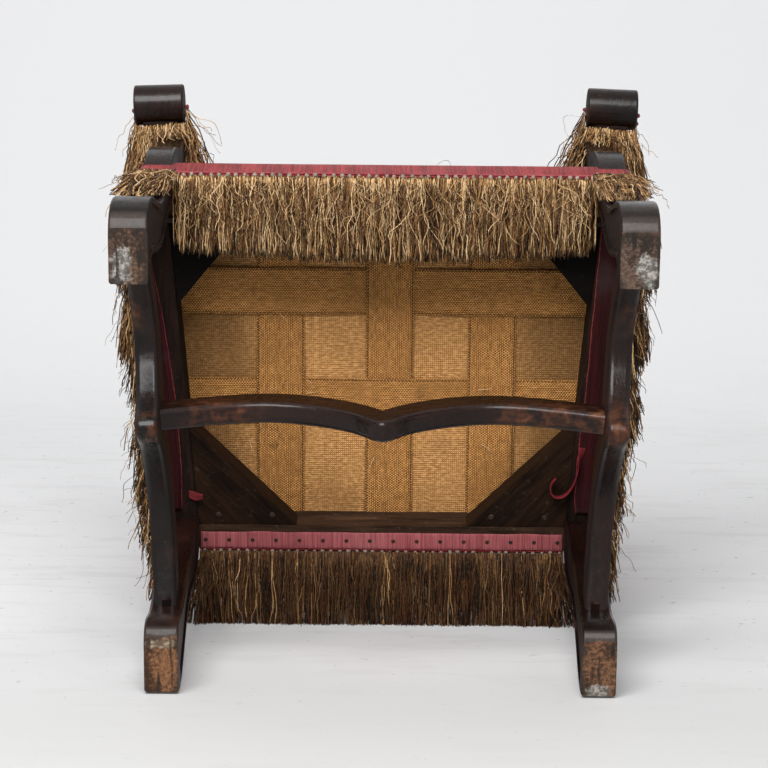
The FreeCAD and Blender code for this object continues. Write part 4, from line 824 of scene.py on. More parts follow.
def hang_side_fringe(side_name, side):
    """Threads along a side of the seat. They hang along the side, fanned outwards in ragged tufts."""
    threads = Threads(37 + side)
    random = threads.random
    y = np.arange(-0.236, 0.158, 0.0040)
    centres = points_at(side * (half_width(y) + 0.0066), y, SIDE_HEADING_LEVEL)
    tuft = uneven(points_at(y * 21, side * 3.1, 0))
    direction = np.tile(HANG, (len(y), 1))
    direction[:, 0] = side * np.clip(0.08 + tuft * 0.22 + random.normal(0, 0.03, len(y)), 0.01, 0.26)
    direction[:, 2] += random.normal(0.06, 0.05, len(y))
    hanging_row(threads, centres, direction, 17, FRINGE_LENGTH * (0.93 + tuft * 0.12), 0.055,
                clear_of_frame, (0.58, 0.08), waver=0.0023)
    threads.make("side_fringe_threads_" + side_name, "chair", ["side_fringe_" + side_name])


def hang_corner_fringe():
    """Tufts at the corners: over each front leg, inside and outside it, and beside each rear post."""
    threads = Threads(53)
    random = threads.random

    def ahead_of_leg(points):
        front = np.interp(points[..., 2], [0.15, 0.20, 0.25, 0.30, 0.355],
                          [-0.3075, -0.2985, -0.2990, -0.3010, -0.3040])
        points[..., 1] = np.clip(points[..., 1], -0.3070, front)
        return beside_row(drawn_in(points))

    def beside_row(points, limit=0.4):
        hand = np.sign(points[..., :1].mean(axis=1, keepdims=True))[..., 0]
        points[..., 0] = hand * np.clip(hand * points[..., 0], FRONT_ROW_END + 0.0020, limit)
        return points

    def inside_leg(points):
        return beside_row(points, LEG_INNER - WOOD_GAP)

    def behind_post(points):
        limit = np.interp(points[..., 1], [0.196, 0.206], [POST_INNER - WOOD_GAP, 0.256])
        points[..., 0] = np.clip(points[..., 0], -limit, limit)
        return points

    for side in (-1, 1):
        inner = heading_row(0.2500, 0.2560, FRONT_HEADING_Y + 0.001) * [side, 1, 1]
        hanging_row(threads, inner, HANG, 20, FRINGE_LENGTH * 0.86, 0.05, inside_leg)
        for depth in (0.0020, 0.0034, 0.0048):
            over = heading_row(0.2560, 0.3020, FRONT_FACE - 0.0030 - depth, SIDE_HEADING_LEVEL) * [side, 1, 1]
            number = len(over)
            lean = points_at(side * random.uniform(-0.05, 0.12, number),
                             random.uniform(0.06, 0.13, number), -1.0)
            hanging_row(threads, over, lean, 15, FRINGE_LENGTH * random.uniform(0.9, 1.4, number), 0.045,
                        ahead_of_leg, (0.26, 0.18), deep=0.001)
        y = np.arange(-0.301, -0.236, 0.0036)
        centres = points_at(side * (half_width(y) + 0.0062), y, SIDE_HEADING_LEVEL)
        direction = np.tile(HANG, (len(y), 1))
        direction[:, 0] = side * random.uniform(0.02, 0.24, len(y))
        direction[:, 2] += random.uniform(-0.5, 0.1, len(y))
        hanging_row(threads, centres, direction, 13, FRINGE_LENGTH * 0.88, 0.09, clear_of_frame)
        rear = heading_row(0.2125, 0.2310, 0.182, 0.3490) * [side, 1, 1]
        lean = np.array([(side * share, 0.99, -0.1) for share in np.linspace(0.05, 0.22, len(rear))])
        hanging_row(threads, rear, lean, 30, FRINGE_LENGTH, 0.04, behind_post, (0.95, 0.0), darkening=0.06)
    threads.make("corner_fringe_threads", "chair", ["corner_fringe"])


def arm_frame(side):
    """An arm's own frame: its scroll's place, turned the way the arm runs."""
    scroll = Matrix.Translation((side * SCROLL_SPAN, SCROLL_Y, ARM_HEIGHT))
    return scroll @ Matrix.Rotation(side * ARM_LEAN, 4, "Z")


def turned(points, matrix):
    """Points carried into the chair's frame by a matrix."""
    points = np.asarray(points, float)
    array = np.array(matrix)
    return points @ array[:3, :3].T + array[:3, 3]


def wood_level(side_name, side, y, below=False):
    """Height of an arm's wood above or below a place behind its scroll, in the arm's own frame."""
    armrest = nodes["armrest_" + side_name]
    place = arm_frame(side) @ Vector((0.012, y, 0))
    start = Vector((place.x, place.y, 0.5 if below else 0.9))
    hit, where, normal, index = armrest.ray_cast(start, Vector((0, 0, 1 if below else -1)))
    return where.z - ARM_HEIGHT if hit else 0.0


def arm_cover_half(y):
    """Half the width of an arm's cover, widest just behind the scroll."""
    return np.interp(y, [0.0, 0.020, 0.034, 0.12, 0.30], [0.0345, 0.0340, 0.0310, 0.0275, 0.0255])


def hang_arm_fringe(side_name, side):
    """A dense skirt of threads along both sides of an arm and under it, behind the scroll."""
    threads = Threads(71 + side)
    random = threads.random
    arm = arm_frame(side)
    y = np.arange(0.008, ARM_PAD_START + ARM_PAD_LENGTH - 0.02, 0.0042)
    lows = np.array([wood_level(side_name, side, max(place, SCROLL_REAR), True) for place in y])
    for hand in (-1, 1):
        roots = points_at(hand * (arm_cover_half(y) - 0.0008), y, -0.004)
        direction = np.tile(HANG, (len(y), 1))
        direction[:, 0] = hand * random.uniform(0.04, 0.42, len(y))
        direction[:, 2] = random.uniform(-0.40, 0.0, len(y))

        def beside_arm(points, hand=hand):
            local = turned(points, arm.inverted())
            least = np.interp(local[..., 1], [0.026, SCROLL_REAR], [0.0345, 0.0250])
            local[..., 0] = hand * np.maximum(hand * local[..., 0], least)
            return drawn_in(turned(local, arm))

        hanging_row(threads, turned(roots, arm), direction, 15, FRINGE_LENGTH * 0.92, 0.085, beside_arm,
                    (0.30, 0.16), waver=0.0028)
    support = nodes["arm_support_" + side_name]
    ahead = Vector((side * SUPPORT_SPAN, -0.45, 0.625))
    hit, front, normal, index = support.ray_cast(ahead, Vector((0, 1, 0)))
    support_start = front.y - SCROLL_Y if hit else 0.05
    apart = side * (SUPPORT_SPAN - SCROLL_SPAN)

    def below_arm(points):
        local = turned(points, arm.inverted())
        under = np.interp(local[..., 1], y, lows) - 0.0025
        local[..., 2] = np.minimum(local[..., 2], under)
        return drawn_in(turned(local, arm))

    wide = 0.030
    x = np.arange(-wide, 0.0305, 0.0026)
    for start in (0.0235, 0.0275, 0.032, 0.038, 0.045, 0.054, 0.064, 0.076):
        across = x[np.abs(x - apart) > SUPPORT_WIDTH / 2 + 0.004] if start > support_start - 0.008 else x
        stopped = np.abs(across + across / wide * 0.015 - apart) < SUPPORT_WIDTH / 2 + 0.005
        reach = np.where(stopped, max(support_start - start + 0.026, 0.024), FRINGE_LENGTH * 0.84)
        roots = points_at(across, start, lows[0] - 0.0015)
        direction = points_at(across / wide * 0.30, 1.0, random.uniform(-0.40, -0.06, len(across)))
        hanging_row(threads, turned(roots, arm), direction, 11, reach, 0.10, below_arm, (0.30, 0.18),
                    waver=0.0032)
    threads.make("arm_fringe_threads_" + side_name, "chair", ["arm_fringe_" + side_name])
    rows = []
    for hand, start, end, seed in ((-1, 0.30, 0.001, 31), (1, 0.001, 0.30, 35)):
        places = np.linspace(start, end, 44)
        edge = points_at(hand * (arm_cover_half(places) + 0.0008), places, 0.0004)
        rows.append(knots_along(turned(edge, arm), ARM_KNOT_PITCH, KNOT_SIZE, seed + side))
    make_piece("arm_heading_knots_" + side_name, *gathered(rows), RED_BRAID, "braid")


# Braids and knots

def twisted_cord(path, radius, pitch):
    """Vertices and faces of a two-ply cord along a path of points."""
    length = distances(path)[-1]
    count = int(length / (pitch / 5))
    at = np.linspace(0, length, count)
    centre = along_path(path, at)
    run = unit(np.gradient(centre, axis=0))
    first = unit(np.cross(run, [0.02, 0.03, 1.0]))
    second = unit(np.cross(run, first))
    around = 8
    angles = np.arange(around) * 2 * math.pi / around
    swell = 1 + 0.22 * np.cos(2 * (angles[None] - at[:, None] * math.pi / pitch))
    reach = radius * swell / 1.22
    vertices = (centre[:, None] + reach[..., None] * (np.cos(angles)[None, :, None] * first[:, None]
                                                     + np.sin(angles)[None, :, None] * second[:, None]))
    return vertices.reshape(-1, 3), tube_faces(count, around)


def knot(radius):
    """Vertices and faces of a small knot, wound round."""
    rings, around = 5, 7
    vertices = []
    for ring in range(rings):
        turn = math.pi * (ring + 0.5) / rings
        for step in range(around):
            angle = 2 * math.pi * (step + 0.35 * ring) / around
            swell = 1 + 0.13 * math.cos(3 * angle + ring)
            vertices.append((radius * math.cos(turn) * 0.8, radius * math.sin(turn) * math.cos(angle) * swell,
                             radius * math.sin(turn) * math.sin(angle) * swell))
    return np.array(vertices), tube_faces(rings, around)


def gathered(meshes):
    """Several meshes' vertices and faces as one."""
    vertices, faces, count = [], [], 0
    for points, polygons in meshes:
        vertices.append(points)
        faces += [tuple(corner + count for corner in face) for face in polygons]
        count += len(points)
    return np.concatenate(vertices), faces


def knots_along(path, pitch, radius, seed):
    """A row of knots along a path, none quite like the next."""
    random = np.random.default_rng(seed)
    points, faces = knot(1.0)
    row = []
    for place in np.arange(pitch / 2, distances(path)[-1], pitch):
        centre = along_path(path, place + random.normal(0, pitch * 0.07))
        turn = np.array(Matrix.Rotation(random.uniform(-0.5, 0.5), 3, "Z")
                        @ Matrix.Rotation(random.uniform(0, 6.28), 3, "X"))
        size = radius * random.uniform(0.82, 1.12)
        row.append((points @ turn.T * size + centre + random.normal(0, 0.00035, 3), faces))
    return gathered(row)


def sew_braid(name, path, outward, node, seed, knots_at=(0.0014, -0.0010)):
    """A heading: two thin cords on the silk's edge and a row of knots under them."""
    path = np.asarray(path, float)
    outward = np.asarray(outward, float)
    cords = [twisted_cord(path + outward * 0.0010 + [0, 0, level], CORD_RADIUS, CORD_TWIST)
             for level in (0.0066, 0.0038)]
    make_piece(name + "_cords", *gathered(cords), RED_BRAID, "braid", "chair", None, [node])
    knots = knots_along(path + outward * knots_at[0] + [0, 0, knots_at[1]], KNOT_PITCH, KNOT_SIZE, seed)
    make_piece(name + "_knots", *knots, GREY_KNOTS, "braid")


def sew_braids():
    out = 0.0026
    reach = FRONT_HALF_WIDTH + 0.0015
    front = points_at(np.linspace(-reach, reach, 60), FRONT_FACE - out, SKIRT_LOW)
    sew_braid("front_braid", front, (0, -1, 0), "front_braid", 5, (-0.0006, -0.0034))
    reach = POST_INNER - WOOD_GAP
    rear = points_at(np.linspace(-reach, reach, 60), REAR_FACE + out, SKIRT_LOW)
    sew_braid("rear_braid", rear, (0, 1, 0), "rear_braid", 7)
    for side_name, side in SIDES:
        y = np.linspace(-0.2990, 0.1380, 60)
        edge = points_at(side * (half_width(y) + out), y, SKIRT_LOW)
        sew_braid("side_braid_" + side_name, edge, (side, 0, 0), "side_braid_" + side_name, 9 + side)


# Seat: webs, hessian, straw and cushion

def strip(centre, side, up, width, thickness):
    """A flat woven strip along a line of points, thicker at its edges: its mesh, measures and length."""
    shares = np.array([-1, -0.93, -0.6, -0.2, 0.2, 0.6, 0.93, 1])
    half = np.array([0.25, 0.62, 0.5, 0.5, 0.5, 0.5, 0.62, 0.25]) * thickness
    section = np.column_stack([np.append(shares, shares[::-1]), np.append(-half, half[::-1])])
    side = np.asarray(side, float)
    up = np.asarray(up, float)
    ripple = uneven(centre, 23) * 0.0005
    half_wide = np.broadcast_to(width, len(centre))[:, None, None] / 2 + ripple[:, None, None]
    vertices = centre[:, None] + section[None, :, :1] * half_wide * side + section[None, :, 1:] * up
    along = distances(centre)
    measures = {"across": (section[None, :, 0] * half_wide[:, :, 0]).ravel(),
                "along": np.repeat(along, len(section)), "edge": np.tile(section[:, 0], len(centre))}
    return vertices.reshape(-1, 3), tube_faces(len(centre), len(section)), measures, along[-1]


def web_line(start, end, crossings):
    """Distances along a web and its height at each, over and under the webs that it crosses."""
    middle = RAIL_TOP + WEB_THICKNESS / 2
    flat = 0.03
    places, heights = [start, start + flat], [middle, middle]
    for place, level in crossings:
        places += [place - WEB_WIDTH / 2, place + WEB_WIDTH / 2]
        heights += [middle + level * WEB_RISE] * 2
    places += [end - flat, end]
    heights += [middle, middle]
    at = np.linspace(start, end, 90)
    return at, np.interp(at, places, heights)


def weave_webs():
    """The webs pass over and under each other: 1 is over, -1 under."""
    for index, (place, levels) in enumerate(zip(LENGTHWISE_WEBS, ((1, -1), (-1, 1), (1, -1)))):
        at, heights = web_line(FRONT_FACE + WEB_TACKED, REAR_FACE - WEB_TACKED, zip(CROSSWISE_WEBS, levels))
        line = points_at(place, at, heights)
        add_web("lengthwise_web_%d" % (index + 1), line, (1, 0, 0), "webbing_lengthwise")
    for index, (place, levels) in enumerate(zip(CROSSWISE_WEBS, ((-1, 1, -1), (1, -1, 1)))):
        reach = half_width(place + WEB_WIDTH / 2) - WEB_TACKED
        at, heights = web_line(-reach, reach, zip(LENGTHWISE_WEBS, levels))
        line = points_at(at, place, heights)
        add_web("crosswise_web_%d" % (index + 1), line, (0, 1, 0), "webbing_crosswise")


def add_web(name, line, side, node):
    vertices, faces, measures, length = strip(line, side, (0, 0, 1), WEB_WIDTH, WEB_THICKNESS)
    web = make_piece(name, vertices, faces, GIRTH_WEB, "girth_web", "chair", measures, [node])


def slab(plan, level, thickness, spacing, sag=0.0):
    """A thin cloth over a plan that narrows front to back, as a closed mesh with cloth measures.
    The plan is a list of (depth, half width) from front to rear."""
    depths, halves = np.array(plan).T
    y = np.arange(depths[0], depths[-1] + spacing / 2, spacing)
    y[-1] = depths[-1]
    u = np.linspace(-1, 1, 60)
    half = np.interp(y, depths, halves)
    x = u[None] * half[:, None]
    yy = np.repeat(y[:, None], len(u), axis=1)
    dent = uneven(points_at(x.ravel(), yy.ravel(), 0), 14)
    low = points_at(x.ravel(), yy.ravel(), level + dent * sag)
    high = low + [0, 0, thickness]
    count = len(u)
    cells = grid_faces(len(y), count)
    size = len(low)
    faces = [cell[::-1] for cell in cells] + [tuple(corner + size for corner in cell) for cell in cells]
    rim = (list(range(count)) + [row * count + count - 1 for row in range(1, len(y))]
           + [(len(y) - 1) * count + column for column in range(count - 2, -1, -1)]
           + [row * count for row in range(len(y) - 2, 0, -1)])
    faces += [(a, b, b + size, a + size) for a, b in zip(rim, rim[1:] + rim[:1])]
    vertices = np.concatenate([low, high])
    measures = {"across": vertices[:, 0], "along": vertices[:, 1]}
    area = float(np.trapz(2 * half, y))
    return vertices, faces, measures, area


def lay_seat_hessian():
    """Hessian over the webs, cut out round the legs and the posts."""
    inset = 0.004
    slit = 0.0006
    notch = 0.0008
    leg = LEG_INNER - slit
    post = POST_INNER - slit
    plan = [(FRONT_FACE + inset, leg), (BLOCK_REAR, leg),
            (BLOCK_REAR + notch, half_width(BLOCK_REAR) - inset),
            (POST_FRONT - notch, half_width(POST_FRONT) - inset),
            (POST_FRONT, post), (REAR_FACE - inset, post)]
    vertices, faces, measures, area = slab(plan, HESSIAN_LEVEL - 0.0005, 0.001, 0.008, 0.0002)
    cloth = make_piece("seat_hessian_cloth", vertices, faces, HESSIAN, "hessian", "chair", measures,
                       ["seat_hessian"])


def scatter_straw():
    """Loose ends of straw that have worked through the hessian and lie on the webs."""
    threads = Threads(91)
    random = threads.random
    number = 60
    roots = points_at(random.uniform(-0.21, 0.21, number), random.uniform(-0.20, 0.10, number),
                      STRAW_LEVEL)
    turn = random.uniform(0, 2 * math.pi, number)
    reach = random.uniform(0.006, 0.022, number)
    drop = random.uniform(-0.004, -0.0002, number)
    tips = roots + points_at(np.cos(turn) * reach, np.sin(turn) * reach, drop)
    threads.add(roots, tips, random.uniform(0.0006, 0.0010, number), 0.0009,
                random.uniform(0.65, 1.0, number))
    threads.measures["tip"] = [values * 0.2 for values in threads.measures["tip"]]
    straw = threads.make("straw_ends", "chair", [])


def rounded_loop(corners, radius, spacing):
    """Points round a closed plan with rounded corners."""
    corners = [np.array(corner, float) for corner in corners]
    loop = []
    for before, corner, after in zip(corners[-1:] + corners[:-1], corners, corners[1:] + corners[:1]):
        arriving = unit(before - corner)
        leaving = unit(after - corner)
        for share in np.linspace(0, 1, 7):
            start = corner + arriving * radius
            end = corner + leaving * radius
            loop.append((1 - share) ** 2 * start + 2 * share * (1 - share) * corner + share ** 2 * end)
    closed = np.array(loop + loop[:1])
    length = distances(closed)[-1]
    return along_path(closed, np.linspace(0, length, int(length / spacing), endpoint=False))


def stuffed_form(loop, centre, skirt, bed, edge, crown, turn, fullness=2.6, inner=SILK):
    """A stuffed form under one drawn cover, open below: its cover runs down over the frame as a thin skirt.
    Heights are of the skirt's lower edge, the bed that the stuffing lies on and the cover's top edge; turn is
    the rounding of the edge. Gives vertices as (plan, plan, height) and faces."""
    centre = np.array(centre, float)
    away = loop - centre
    reach = np.linalg.norm(away, axis=1, keepdims=True)
    spokes = away / reach

    def ring(inset, share, height):
        plan = centre + spokes * (reach - inset) * share
        return np.column_stack([plan, np.full(len(plan), height)])

    rings = [ring(inner, share, bed) for share in (0.03, 0.3, 0.6, 0.85, 1.0)]
    rings += [ring(inner, 1.0, height) for height in np.linspace(bed, skirt, 5)[1:]]
    rings += [ring(0, 1.0, height) for height in np.linspace(skirt, edge - turn, 8)]
    for angle in np.linspace(0, math.pi / 2, 6)[1:]:
        rings.append(ring(turn * (1 - math.cos(angle)) * 0.9, 1.0, edge - turn + turn * math.sin(angle)))
    shares = np.concatenate([np.linspace(0.985, 0.8, 6), np.linspace(0.76, 0.03, 16)])
    for share in shares:
        rings.append(ring(turn * 0.9, share, edge + crown * (1 - share ** fullness)))
    vertices = np.concatenate(rings)
    return vertices, tube_faces(len(rings), len(loop))


def wrinkled(vertices, scale, depth, only=None):
    """Small uneven swells, so that stuffing doesn't look turned on a lathe."""
    shift = np.array([noise.noise(Vector(point) * scale) + 0.5 * noise.noise(Vector(point) * scale * 2.3)
                      for point in vertices]) * depth
    if only is not None:
        shift = shift * only
    vertices[:, 2] += shift
    return vertices


def cut_away(piece, cutters):
    """Takes boxes, each given as its two corners and the frame they are in, out of a piece."""
    tools = []
    for low, high, matrix in cutters:
        corners = [[(low, high)[bit][axis] for axis, bit in enumerate(bits)]
                   for bits in ((0, 0, 0), (1, 0, 0), (1, 1, 0), (0, 1, 0),
                                (0, 0, 1), (1, 0, 1), (1, 1, 1), (0, 1, 1))]
        mesh = bpy.data.meshes.new("cutter")
        mesh.from_pydata(turned(corners, matrix).tolist(), [],
                         [(0, 3, 2, 1), (4, 5, 6, 7), (0, 1, 5, 4), (1, 2, 6, 5), (2, 3, 7, 6), (3, 0, 4, 7)])
        tool = bpy.data.objects.new("cutter", mesh)
        bpy.context.scene.collection.objects.link(tool)
        tools.append(tool)
        knife = piece.modifiers.new("cut", "BOOLEAN")
        knife.operation = "DIFFERENCE"
        knife.solver = "EXACT"
        knife.object = tool
    bpy.context.view_layer.update()
    cut_mesh = bpy.data.meshes.new_from_object(piece.evaluated_get(bpy.context.evaluated_depsgraph_get()))
    piece.modifiers.clear()
    piece.data = cut_mesh
    for tool in tools:
        bpy.data.objects.remove(tool)
    return piece


def points_of(piece):
    points = np.zeros(len(piece.data.vertices) * 3)
    piece.data.vertices.foreach_get("co", points)
    return points.reshape(-1, 3)


UPRIGHT = Matrix.Identity(4)


def upholster_seat():
    """The stuffed seat under its cover, cut out round the posts and the arm supports."""
    grow = GAP + SILK
    front_half = FRONT_HALF_WIDTH + grow
    rear_half = REAR_HALF_WIDTH + grow
    corners = [(-front_half, FRONT_FACE - grow), (front_half, FRONT_FACE - grow), (front_half, BLOCK_REAR),
               (rear_half, POST_FRONT), (rear_half, REAR_FACE + grow), (-rear_half, REAR_FACE + grow),
               (-rear_half, POST_FRONT), (-front_half, BLOCK_REAR)]
    loop = rounded_loop(corners, 0.006, 0.007)
    vertices, faces = stuffed_form(loop, (0, -0.06), SKIRT_LOW, SEAT_BED, SEAT_EDGE, SEAT_CROWN, 0.007)
    top = np.clip((vertices[:, 2] - 0.425) / 0.006, 0, 1)
    vertices = wrinkled(vertices, 13, 0.0016, top)
    seat = make_piece("seat_cushion", vertices, faces, RED_SILK, "red_silk", "chair", None,
                      ["seat_cover", "seat_stuffing"])
    holes = []
    slit = 0.0004
    for side in (-1, 1):
        x = sorted((side * (POST_INNER - slit), side * 0.34))
        holes.append(((x[0], 0.1386, 0.30), (x[1], 0.23, 0.50), UPRIGHT))
        reach = SUPPORT_WIDTH / 2 + slit
        x = sorted((side * (SUPPORT_SPAN - reach), side * (SUPPORT_SPAN + reach)))
        holes.append(((x[0], -0.3100, 0.4152), (x[1], -0.2455, 0.50), UPRIGHT))
    cut_away(seat, holes)
    points = points_of(seat)
    rim = 0.004
    edge = half_width(points[:, 1]) - rim
    beyond = (np.abs(points[:, 0]) > edge) & (points[:, 1] > FRONT_FACE + rim)
    down = np.where(beyond, SEAT_EDGE - points[:, 2], 0)
    front = points[:, 1] < FRONT_FACE + rim
    keep_measures(seat.data, {"across": points[:, 0] + np.sign(points[:, 0]) * down,
                              "along": points[:, 1] - np.where(front, SEAT_EDGE - points[:, 2], 0)})


def upholster_back():
    """The back's stuffed front with its cover drawn round the posts, and the plain silk outside."""
    rake = Matrix.Translation((0, POST_FRONT, RAIL_TOP)) @ Matrix.Rotation(-BACK_RAKE, 4, "X")
    # In this form the plan is across and up the back, and its height is towards the front.
    stand = rake @ Matrix(((1, 0, 0, 0), (0, 0, -1, 0), (0, 1, 0, 0), (0, 0, 0, 1)))
    half = REAR_HALF_WIDTH + GAP + SILK
    low, high = BACK_LOW - SILK, BACK_LENGTH + SILK
    loop = rounded_loop([(-half, low), (half, low), (half, high), (-half, high)], 0.012, 0.008)
    edge = 0.030
    vertices, faces = stuffed_form(loop, (0, (low + high) / 2), -BACK_THICKNESS, 0.0022, edge, 0.024,
                                   0.012, 2.2)
    top = np.clip((vertices[:, 2] - 0.020) / 0.010, 0, 1)
    vertices = wrinkled(vertices, 11, 0.0022, top)
    down = np.where(np.abs(vertices[:, 0]) > half - 0.006, edge - vertices[:, 2], 0)
    across = vertices[:, 0] + np.sign(vertices[:, 0]) * down
    back = make_piece("back_cushion", turned(vertices, stand), faces, RED_SILK, "red_silk", "chair",
                      {"across": across, "along": vertices[:, 1]},
                      ["back_cover", "back_stuffing", "back_hessian"])
    cut_away(back, [((-ARM_HALF_WIDTH, 0.30, -ARM_HALF_THICKNESS), (ARM_HALF_WIDTH, 0.62, ARM_HALF_THICKNESS),
                     arm_frame(side)) for side in (-1, 1)])
    hem = 0.001
    plan = [(BACK_LOW, REAR_HALF_WIDTH - hem), (BACK_LENGTH - hem, REAR_HALF_WIDTH - hem)]
    vertices, faces, measures, area = slab(plan, 0, 0.0012, 0.012, 0.0004)
    outside = vertices[:, [0, 2, 1]] + [0, BACK_THICKNESS + 0.0006, 0]
    cloth = make_piece("outside_back_silk", turned(outside, rake), [face[::-1] for face in faces], RED_SILK,
                       "red_silk", "chair", measures, ["outside_back_cover"])


def upholster_arm(side_name, side):
    """A crowned pad on the flat of an arm, its cover drawn down both sides of the wood."""
    half = 0.0255
    waist = 0.28
    start, end = 0.0345, ARM_PAD_START + ARM_PAD_LENGTH
    wide = float(arm_cover_half(start))
    loop = rounded_loop([(-wide, start), (wide, start), (half, waist), (half, end), (-half, end),
                         (-half, waist)], 0.010, 0.005)
    vertices, faces = stuffed_form(loop, (0, (start + end) / 2), -0.022, 0.0006, 0.009, 0.010, 0.006, 3)
    stations = np.linspace(start - 0.01, end + 0.01, 40)
    tops = np.array([wood_level(side_name, side, place)
                     for place in np.clip(stations, SCROLL_REAR, ARM_WOOD_END)])
    vertices[:, 2] += np.interp(vertices[:, 1], stations, tops)
    vertices = wrinkled(vertices, 30, 0.0008)
    pad = make_piece("arm_cushion_" + side_name, turned(vertices, arm_frame(side)), faces, RED_SILK,
                     "red_silk", "chair", {"across": vertices[:, 1], "along": vertices[:, 0]},
                     ["arm_cover_" + side_name, "arm_pad_" + side_name])


def silk_strip(name, line, side, up, width, finish, slot, nodes_replaced, ribs_across=False):
    """A strip of silk with torn edges."""
    vertices, faces, measures, length = strip(line, side, up, width, STRIP_THICKNESS)
    if ribs_across:
        measures["across"], measures["along"] = measures["along"], measures["across"]
    piece = make_piece(name, vertices, faces, finish, slot, "chair", measures, nodes_replaced)
    width = np.broadcast_to(width, len(line))
    steps = np.linalg.norm(np.diff(line, axis=0), axis=1)
    area = float(((width[1:] + width[:-1]) / 2 * steps).sum())


# Depths along each side rail, and how wide the turned silk is there
TURNED_WIDTHS = {
    "left": ((-0.238, -0.121, -0.018, 0.077, 0.100, 0.130), (0.006, 0.0190, 0.0246, 0.0236, 0.0215, 0.0180)),
    "right": ((-0.238, -0.170, -0.016, 0.061, 0.108, 0.130), (0.036, 0.0345, 0.0315, 0.0325, 0.0300, 0.0260)),
}


def turn_under_silk():
    """Silk turned under the side rails, its edge torn, and the strip tacked under the rear rail."""
    for side_name, side in SIDES:
        y = np.linspace(BLOCK_REAR + 0.001, 0.130, 90)
        ragged = uneven(points_at(y * 22, side, 0)) + 0.5 * uneven(points_at(y * 70, side, 3))
        width = np.interp(y, *TURNED_WIDTHS[side_name]) + ragged * 0.0011
        line = points_at(side * (half_width(y) - width / 2), y, TURNED_SILK_LEVEL)
        # The turned silk takes the shade-darkened lining colour: painted shade.
        silk_strip("turned_silk_" + side_name, line, (1, 0, 0), (0, 0, 1), width, SHADE_DARKENED_LINING_SILK, "lining_silk",
                   ["side_turnunder_" + side_name])
    x = np.linspace(-POST_INNER + 0.002, POST_INNER - 0.002, 120)
    ragged = uneven(points_at(x * 30, 7, 0))
    line = points_at(x, TACKED_STRIP_Y + ragged * 0.0008, TACKED_STRIP_LEVEL)
    silk_strip("rear_strip_silk", line, (0, 1, 0), (0, 0, 1), TACKED_STRIP_WIDTH, ROSE_SILK, "red_silk",
               ["rear_tacking_strip"], True)


def curl_torn_silk():
    """Torn ends of the turned silk, off the side rails: a curled loop on the right, a flap on the left."""
    loop = ((0.2490, 0.041), (0.2462, 0.060), (0.2428, 0.078), (0.2370, 0.094), (0.2290, 0.104),
            (0.2195, 0.1075), (0.2115, 0.1035), (0.2090, 0.0940), (0.2120, 0.0850), (0.2180, 0.0805))
    length = distances(loop)[-1]
    at = np.linspace(0, length, 60)
    even = np.ones(7) / 7
    path = [np.convolve(np.pad(places, 3, "edge"), even, "valid") for places in along_path(loop, at).T]
    line = points_at(*path, np.interp(at, [0, 0.03, length], [0.3535, 0.3500, 0.3475]))
    run = unit(np.gradient(line, axis=0))
    lean = np.interp(at, [0, 0.025, length], [0.1, 0.9, 1.0])[:, None]
    flat = unit(np.cross(run, [0, 0, 1.0]))
    side = unit(flat * (1 - lean) + np.array([0, 0, 1.0]) * lean)
    up = unit(np.cross(side, run))
    width = np.interp(at, [0, 0.02, 0.08, length], [0.008, 0.0130, 0.0120, 0.0085])
    silk_strip("torn_silk_right", line, side[:, None], up[:, None], width, TORN_SILK, "lining_silk", [])
    at = np.linspace(0, 1, 24)
    line = points_at(-0.2415 + 0.0175 * at, 0.1075 + 0.003 * np.sin(at * 2.4), 0.3528 - 0.0048 * at ** 1.6)
    width = np.interp(at, [0, 0.4, 1], [0.010, 0.0125, 0.007])
    silk_strip("torn_silk_left", line, (0, 1, 0), (0, 0, 1), width, TORN_SILK, "lining_silk", [])


# Putting it together

place_camera()
lay_floor()
light_studio()

GIRTH_WEB = girth_web()
HESSIAN = hessian_cloth()
THREAD = fringe_thread()
RED_SILK = ribbed_silk("red_silk", (0.34, 0.042, 0.043), (0.12, 0.009, 0.011))
ROSE_SILK = ribbed_silk("rose_silk", (0.44, 0.125, 0.135), (0.23, 0.050, 0.056), 0.5)
# Painted shade: the lining silk turned under the side rails is coloured far darker than the red silk, for the
# shade it lies in.
SHADE_DARKENED_LINING_SILK = ribbed_silk("lining_silk", (0.036, 0.0042, 0.0048), (0.010, 0.0018, 0.0020), 0.46,
                          (0.20, 0.030, 0.032))
TORN_SILK = ribbed_silk("torn_silk", (0.20, 0.022, 0.026), (0.070, 0.007, 0.009), 0.46)
RED_BRAID = old_braid("red_braid", (0.32, 0.060, 0.062), (0.12, 0.022, 0.026))
GREY_KNOTS = old_braid("grey_knots", (0.33, 0.27, 0.22), (0.10, 0.078, 0.062))
IRON = old_iron()

front_soles = {"left": front_sole(-1, (0.105, 0.060, 0.038), (-0.286, -0.265, 0)),
               "right": front_sole(1, (0.100, 0.062, 0.044), (0.288, -0.262, 0))}
rear_soles = {"left": rear_sole((0.195, 0.088, 0.038), (0.40, 0.30, 0.20), (-0.2485, 0.171, 0),
                                (0.034, 0.013, 0.02), (-0.2500, 0.198, 0), (0.030, 0.058, 0.05)),
              "right": rear_sole((0.150, 0.072, 0.036), (0.36, 0.32, 0.28), (0.2485, 0.226, 0),
                                 (0.032, 0.017, 0.02), (0.2500, 0.202, 0), (0.031, 0.062, 0.05))}
CROSS_WEAR = ((-0.190, -0.066, 0.110), (0.180, -0.066, 0.110), (0.245, -0.066, 0.085))
side_wear = {"left": ((-0.2655, -0.066, 0.045), (-0.286, -0.18, 0.10)),
             "right": ((0.2655, -0.066, 0.045), (0.266, -0.100, 0.060), (0.286, -0.18, 0.10))}
# Painted shade: the front corner blocks are coloured near black for the shade they lie in.
PAINTED_SHADE_BLACK = ((0.0012, 0.0009, 0.0008), (0.0042, 0.0026, 0.0021))
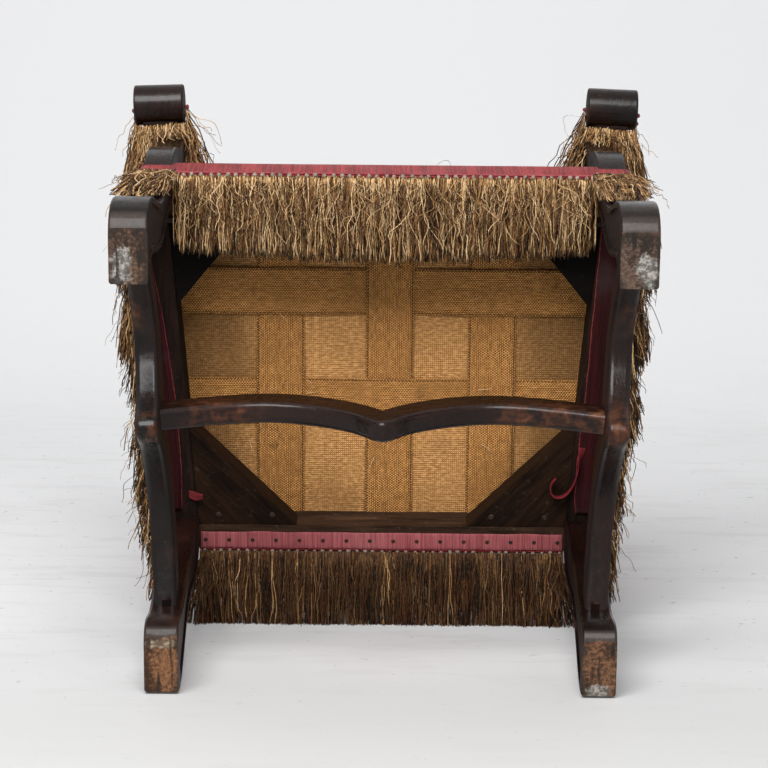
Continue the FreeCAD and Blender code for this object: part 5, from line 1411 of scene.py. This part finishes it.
DARK_BROWN = ((0.004, 0.0019, 0.0010), (0.021, 0.0095, 0.0046))

finishes = {
    "cross_stretcher": polished_wood("cross_stretcher_wood", "X", CROSS_WEAR, (0.07, 0.05, 0.04)),
    "arm_support": polished_wood("arm_support_wood", "Z"),
    "armrest": polished_wood("armrest_wood", "Y"),
    "joint_pegs": polished_wood("peg_wood", "X"),
    "front_rail": rough_wood("front_rail_wood", "X", (0.010, 0.006, 0.004), (0.042, 0.024, 0.015), 0.4),
    "rear_rail": rough_wood("rear_rail_wood", "X", (0.010, 0.0055, 0.0034), (0.047, 0.024, 0.0135), 0.6),
    # Painted shade: the side rails are coloured darker than the other rails for the shade under the seat's
    # sides.
    "side_rail": rough_wood("side_rail_wood", "Y", (0.004, 0.0025, 0.002), (0.018, 0.009, 0.006), 0.15),
    "corner_block_front": rough_wood("front_block_wood", "X", *PAINTED_SHADE_BLACK, 0.12),
    "corner_block_rear_left": rough_wood("rear_block_wood_left", "X", *DARK_BROWN, 0.3, -math.pi / 4),
    "corner_block_rear_right": rough_wood("rear_block_wood_right", "X", *DARK_BROWN, 0.3, math.pi / 4),
    "back_": rough_wood("back_rail_wood", "X", (0.020, 0.013, 0.009), (0.085, 0.052, 0.035), 0.4),
    "corner_block_nails": IRON,
    "webbing_tacks": IRON,
    "rear_strip_tacks": IRON,
}
for side_name, side in SIDES:
    for part, soles in (("front_leg_", front_soles), ("rear_post_", rear_soles)):
        finishes[part + side_name] = polished_wood(part + "wood_" + side_name, "Z", sole=soles[side_name])
    finishes["side_stretcher_" + side_name] = polished_wood(
        "side_stretcher_wood_" + side_name, "Y", side_wear[side_name], (0.03, 0.035, 0.03))
for name, node in nodes.items():
    matches = [key for key in finishes if name.startswith(key)]
    if matches:
        node.data.materials.clear()
        node.data.materials.append(finishes[max(matches, key=len)].material)

weave_webs()
lay_seat_hessian()
scatter_straw()
upholster_seat()
upholster_back()
turn_under_silk()
curl_torn_silk()
sew_braids()
for side_name, side in SIDES:
    upholster_arm(side_name, side)
    hang_arm_fringe(side_name, side)
    hang_side_fringe(side_name, side)
hang_front_fringe()
hang_rear_fringe()
hang_corner_fringe()
